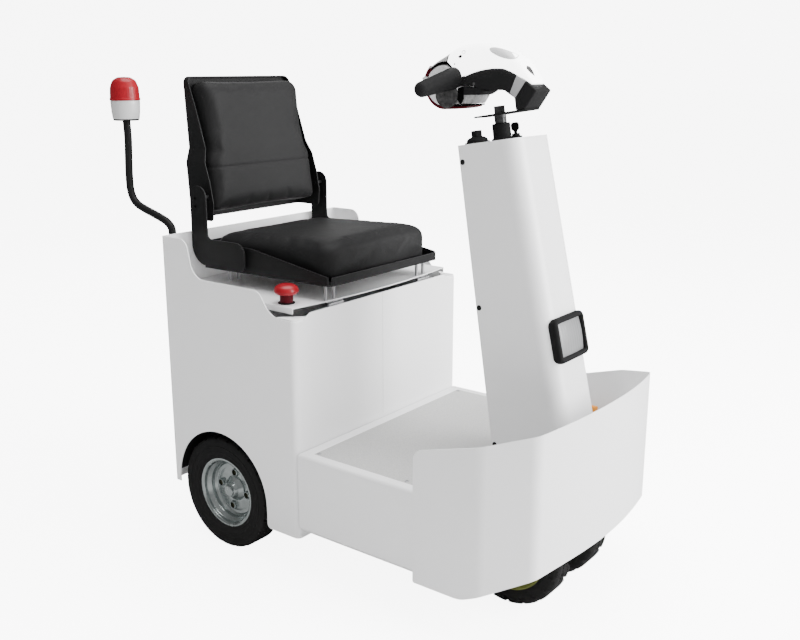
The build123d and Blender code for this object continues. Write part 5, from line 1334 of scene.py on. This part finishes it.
class TUG_OT_stop_button(bpy.types.Operator):
    """Mushroom stop button on its ring"""

    bl_idname = "tug.stop_button"
    bl_label = "Stop Button"

    def execute(self, context):
        head = rounded([(0, 27.6, 0), (17, 27.6, 1), (31, 28, 5), (36.3, 36, 7), (33, 48, 12), (20, 55.6, 22),
                        (0, 57, 0)], 8)
        stem = [(0, 2), (19.3, 2), (19.3, 30), (0, 30)]
        ring = rounded([(12, -0.2, 0), (24.4, -0.2, 0.5), (24.4, 3.8, 1.5), (12, 3.8, 0)], 4)
        add_piece("stop_head", turned(head, STOP_PLACE, UP, 72, False), "red_plastic", "seat_lid",
                  ("emergency_button",), 40)
        add_piece("stop_stem", turned(stem, STOP_PLACE, UP, 48, False), "crimson_plastic", "seat_lid",
                  smooth=40)
        add_piece("stop_ring", turned(ring, STOP_PLACE, UP, 64), "black_plastic", "seat_lid")
        return {"FINISHED"}


DECK_Z = 392
SCREW_LEVELS = (1223, 830, 444)


class TUG_OT_fasteners(bpy.types.Operator):
    """Screws and small plates: column, floor plate, brackets, hinges, corners, jaw, amber marker"""

    bl_idname = "tug.fasteners"
    bl_label = "Fasteners"

    def execute(self, context):
        column = []
        for height in SCREW_LEVELS:
            x = 360 + (SCREW_LEVELS[0] - height) * math.tan(LEAN)
            for _, side in SIDES:
                column.append(screw((x, side * 98, height), (0, side, 0), 7.5, 3.5))
        add_piece("column_screws", merged(column), "black_plastic", "chassis", smooth=40)
        deck = [screw((x, y, DECK_Z), UP, 6.5, 2.5) for x in (53, 369) for y in (-355, 355)]
        add_piece("deck_screws", merged(deck), "steel", "chassis", smooth=40)
        # The bracket holes are near-black discs of painted shade.
        hole = [(0, 0.3), (3.4, 0.3), (3.6, -0.5), (0, -0.5)]
        holes = [turned(hole, (-511, side * 284, z), (0, side, 0), 20, False)
                 for _, side in SIDES for z in (1076, 1051)]
        add_piece("bracket_holes", merged(holes), "gap_black", "seat_lid", smooth=40)
        marker = slab(respaced(rectangle(13, 7, 4, 4), 40), 0, 58, 4)
        add_piece("skirt_marker", placed(marker, (565, 350, DECK_Z), FORWARD, ACROSS, UP),
                  "amber_plastic", "chassis", smooth=40)
        leaves = [screw((0.7, side * 215 + shift, 775), FORWARD, 3.4, 1.4)
                  for _, side in SIDES for shift in (-21, 0, 21)]
        add_piece("hinge_screws", merged(leaves), "zinc", "chassis", smooth=40)
        gussets = []
        for _, side in SIDES:
            corner = rounded([(3, side * 397, 10), (-62, side * 397, 2), (3, side * 332, 2)], 4)
            gussets.append(slab(corner, 775, 789, 1))
        add_piece("corner_gussets", merged(gussets), "white_paint", "chassis", smooth=40)
        jaw = [bolt((-556, y, z), (-1, 0, 0), 8, 6) for y in (-46, 46) for z in (250, 350)]
        add_piece("jaw_bolts", merged(jaw), "steel", "chassis", smooth=40)
        return {"FINISHED"}


# Stage

# What the camera sees of floor and sky burns out as in the photograph. It lights nothing: the
# lights and a softer sky do. Mirrored rays see that share of the sky and a darker floor, which
# keeps the blacks deep.
FLOOR_GLOW = 7.0
SKY_GLOW = 7.4
MIRRORED_SHARE = 0.4
FLOOR_WHITE = 0.95
SOFT_BASE, SOFT_SLOPE = 0.27, 0.35
FLOOR_SIZE = 60.0

# Name, place, aim, width (m) and power (W).
LIGHTS = (
    ("front_light", (4.6, 1.9, 2.3), (0.2, 0, 0.6), 3.6, 700),
    ("top_light", (0.3, 0.3, 5.0), (0, 0, 0), 4.0, 310),
    ("rear_light", (-4.0, 2.5, 3.0), (0, 0, 0.7), 3.0, 50),
)

# The photograph's view.
CAMERA_PLACE = (1.8328, -2.2943, 1.4707)
CAMERA_TURN = (75.45, 0, 37.48)
CAMERA_LENS, SENSOR_WIDTH = 43.89, 36.0


def seen_and_dimmed(tree):
    """Flag of the camera's rays, and the share by which mirrored rays see less."""
    rays = tree.nodes.new("ShaderNodeLightPath")
    return rays.outputs["Is Camera Ray"], times(tree, rays.outputs["Is Glossy Ray"], 1 - MIRRORED_SHARE)


class TUG_OT_stage(bpy.types.Operator):
    """Pale floor, soft studio lights and the camera"""

    bl_idname = "tug.stage"
    bl_label = "Stage"

    def execute(self, context):
        scene = context.scene
        size = FLOOR_SIZE
        mesh = bpy.data.meshes.new("floor")
        corner = ((-size, -size, 0), (size, -size, 0), (size, size, 0), (-size, size, 0))
        mesh.from_pydata(corner, [], [(0, 1, 2, 3)])
        floor = bpy.data.objects.new("floor", mesh)
        scene.collection.objects.link(floor)
        material = bpy.data.materials.new("studio_floor")
        material.use_nodes = True
        tree = material.node_tree
        shader = tree.nodes["Principled BSDF"]
        shader.inputs["Roughness"].default_value = 0.9
        shader.inputs["Specular IOR Level"].default_value = 0.1
        shader.inputs["Emission Color"].default_value = (1, 1, 1, 1)
        seen, dim = seen_and_dimmed(tree)
        tree.links.new(times(tree, seen, FLOOR_GLOW), shader.inputs["Emission Strength"])
        tree.links.new(minus(tree, FLOOR_WHITE, dim), shader.inputs["Base Color"])
        mesh.materials.append(material)
        world = bpy.data.worlds.new("studio")
        world.use_nodes = True
        tree = world.node_tree
        background = tree.nodes["Background"]
        direction = tree.nodes.new("ShaderNodeTexCoord").outputs["Generated"]
        parts = tree.nodes.new("ShaderNodeSeparateXYZ")
        tree.links.new(direction, parts.inputs[0])
        forward = times(tree, plus(tree, parts.outputs["X"], 1.0), SOFT_SLOPE)
        upward = times(tree, math_node(tree, "MAXIMUM", parts.outputs["Z"], 0.0), SOFT_SLOPE)
        soft = plus(tree, plus(tree, forward, upward), SOFT_BASE)
        seen, dim = seen_and_dimmed(tree)
        soft = times(tree, soft, minus(tree, 1.0, dim))
        strength = plus(tree, times(tree, seen, SKY_GLOW), soft)
        tree.links.new(strength, background.inputs["Strength"])
        background.inputs["Color"].default_value = (1, 1, 1, 1)
        scene.world = world
        for name, place, aim, width, power in LIGHTS:
            lamp = bpy.data.lights.new(name, "AREA")
            lamp.size = width
            lamp.energy = power
            obj = bpy.data.objects.new(name, lamp)
            obj.location = place
            obj.rotation_euler = (Vector(aim) - Vector(place)).to_track_quat("-Z", "Y").to_euler()
            scene.collection.objects.link(obj)
        camera = bpy.data.cameras.new("photo_view")
        camera.lens = CAMERA_LENS
        camera.sensor_width = SENSOR_WIDTH
        viewpoint = bpy.data.objects.new("photo_view", camera)
        viewpoint.location = CAMERA_PLACE
        viewpoint.rotation_euler = [math.radians(angle) for angle in CAMERA_TURN]
        scene.collection.objects.link(viewpoint)
        scene.camera = viewpoint
        return {"FINISHED"}


STEPS = (
    TUG_OT_finishes, TUG_OT_stage, TUG_OT_tyres, TUG_OT_rims, TUG_OT_seat_cushion, TUG_OT_back_cushion,
    TUG_OT_tiller_arm, TUG_OT_tiller_cover, TUG_OT_tiller_nose, TUG_OT_grips, TUG_OT_steering_fittings,
    TUG_OT_headlight, TUG_OT_beacon, TUG_OT_stop_button, TUG_OT_fasteners,
)
SETTINGS = (("tug_finishes", TugFinishes), ("tug_wheels", TugWheels), ("tug_seat", TugSeat))


class TUG_PT_panel(bpy.types.Panel):
    """Sidebar panel that lists the tug's steps and settings"""

    bl_idname = "TUG_PT_panel"
    bl_label = "Baggage Tug"
    bl_space_type = "VIEW_3D"
    bl_region_type = "UI"
    bl_category = "Tug"

    def draw(self, context):
        for name, group in SETTINGS:
            for label in group.__annotations__:
                self.layout.prop(getattr(context.scene, name), label)
        for step in STEPS:
            self.layout.operator(step.bl_idname)


def register():
    """Register the settings, steps and panel."""
    for name, group in SETTINGS:
        bpy.utils.register_class(group)
        setattr(bpy.types.Scene, name, PointerProperty(type=group))
    for step in (*STEPS, TUG_PT_panel):
        bpy.utils.register_class(step)


def unregister():
    """Take the panel, steps and settings away again."""
    for step in reversed((*STEPS, TUG_PT_panel)):
        bpy.utils.unregister_class(step)
    for name, group in SETTINGS:
        delattr(bpy.types.Scene, name)
        bpy.utils.unregister_class(group)


def corners(box):
    """A box's two corners as plain lists."""
    return [[float(value) for value in corner] for corner in box]


def main():
    """Run every step."""
    register()
    for step in STEPS:
        family, name = step.bl_idname.split(".")
        getattr(getattr(bpy.ops, family), name)()


if __name__ == "__main__":
    main()
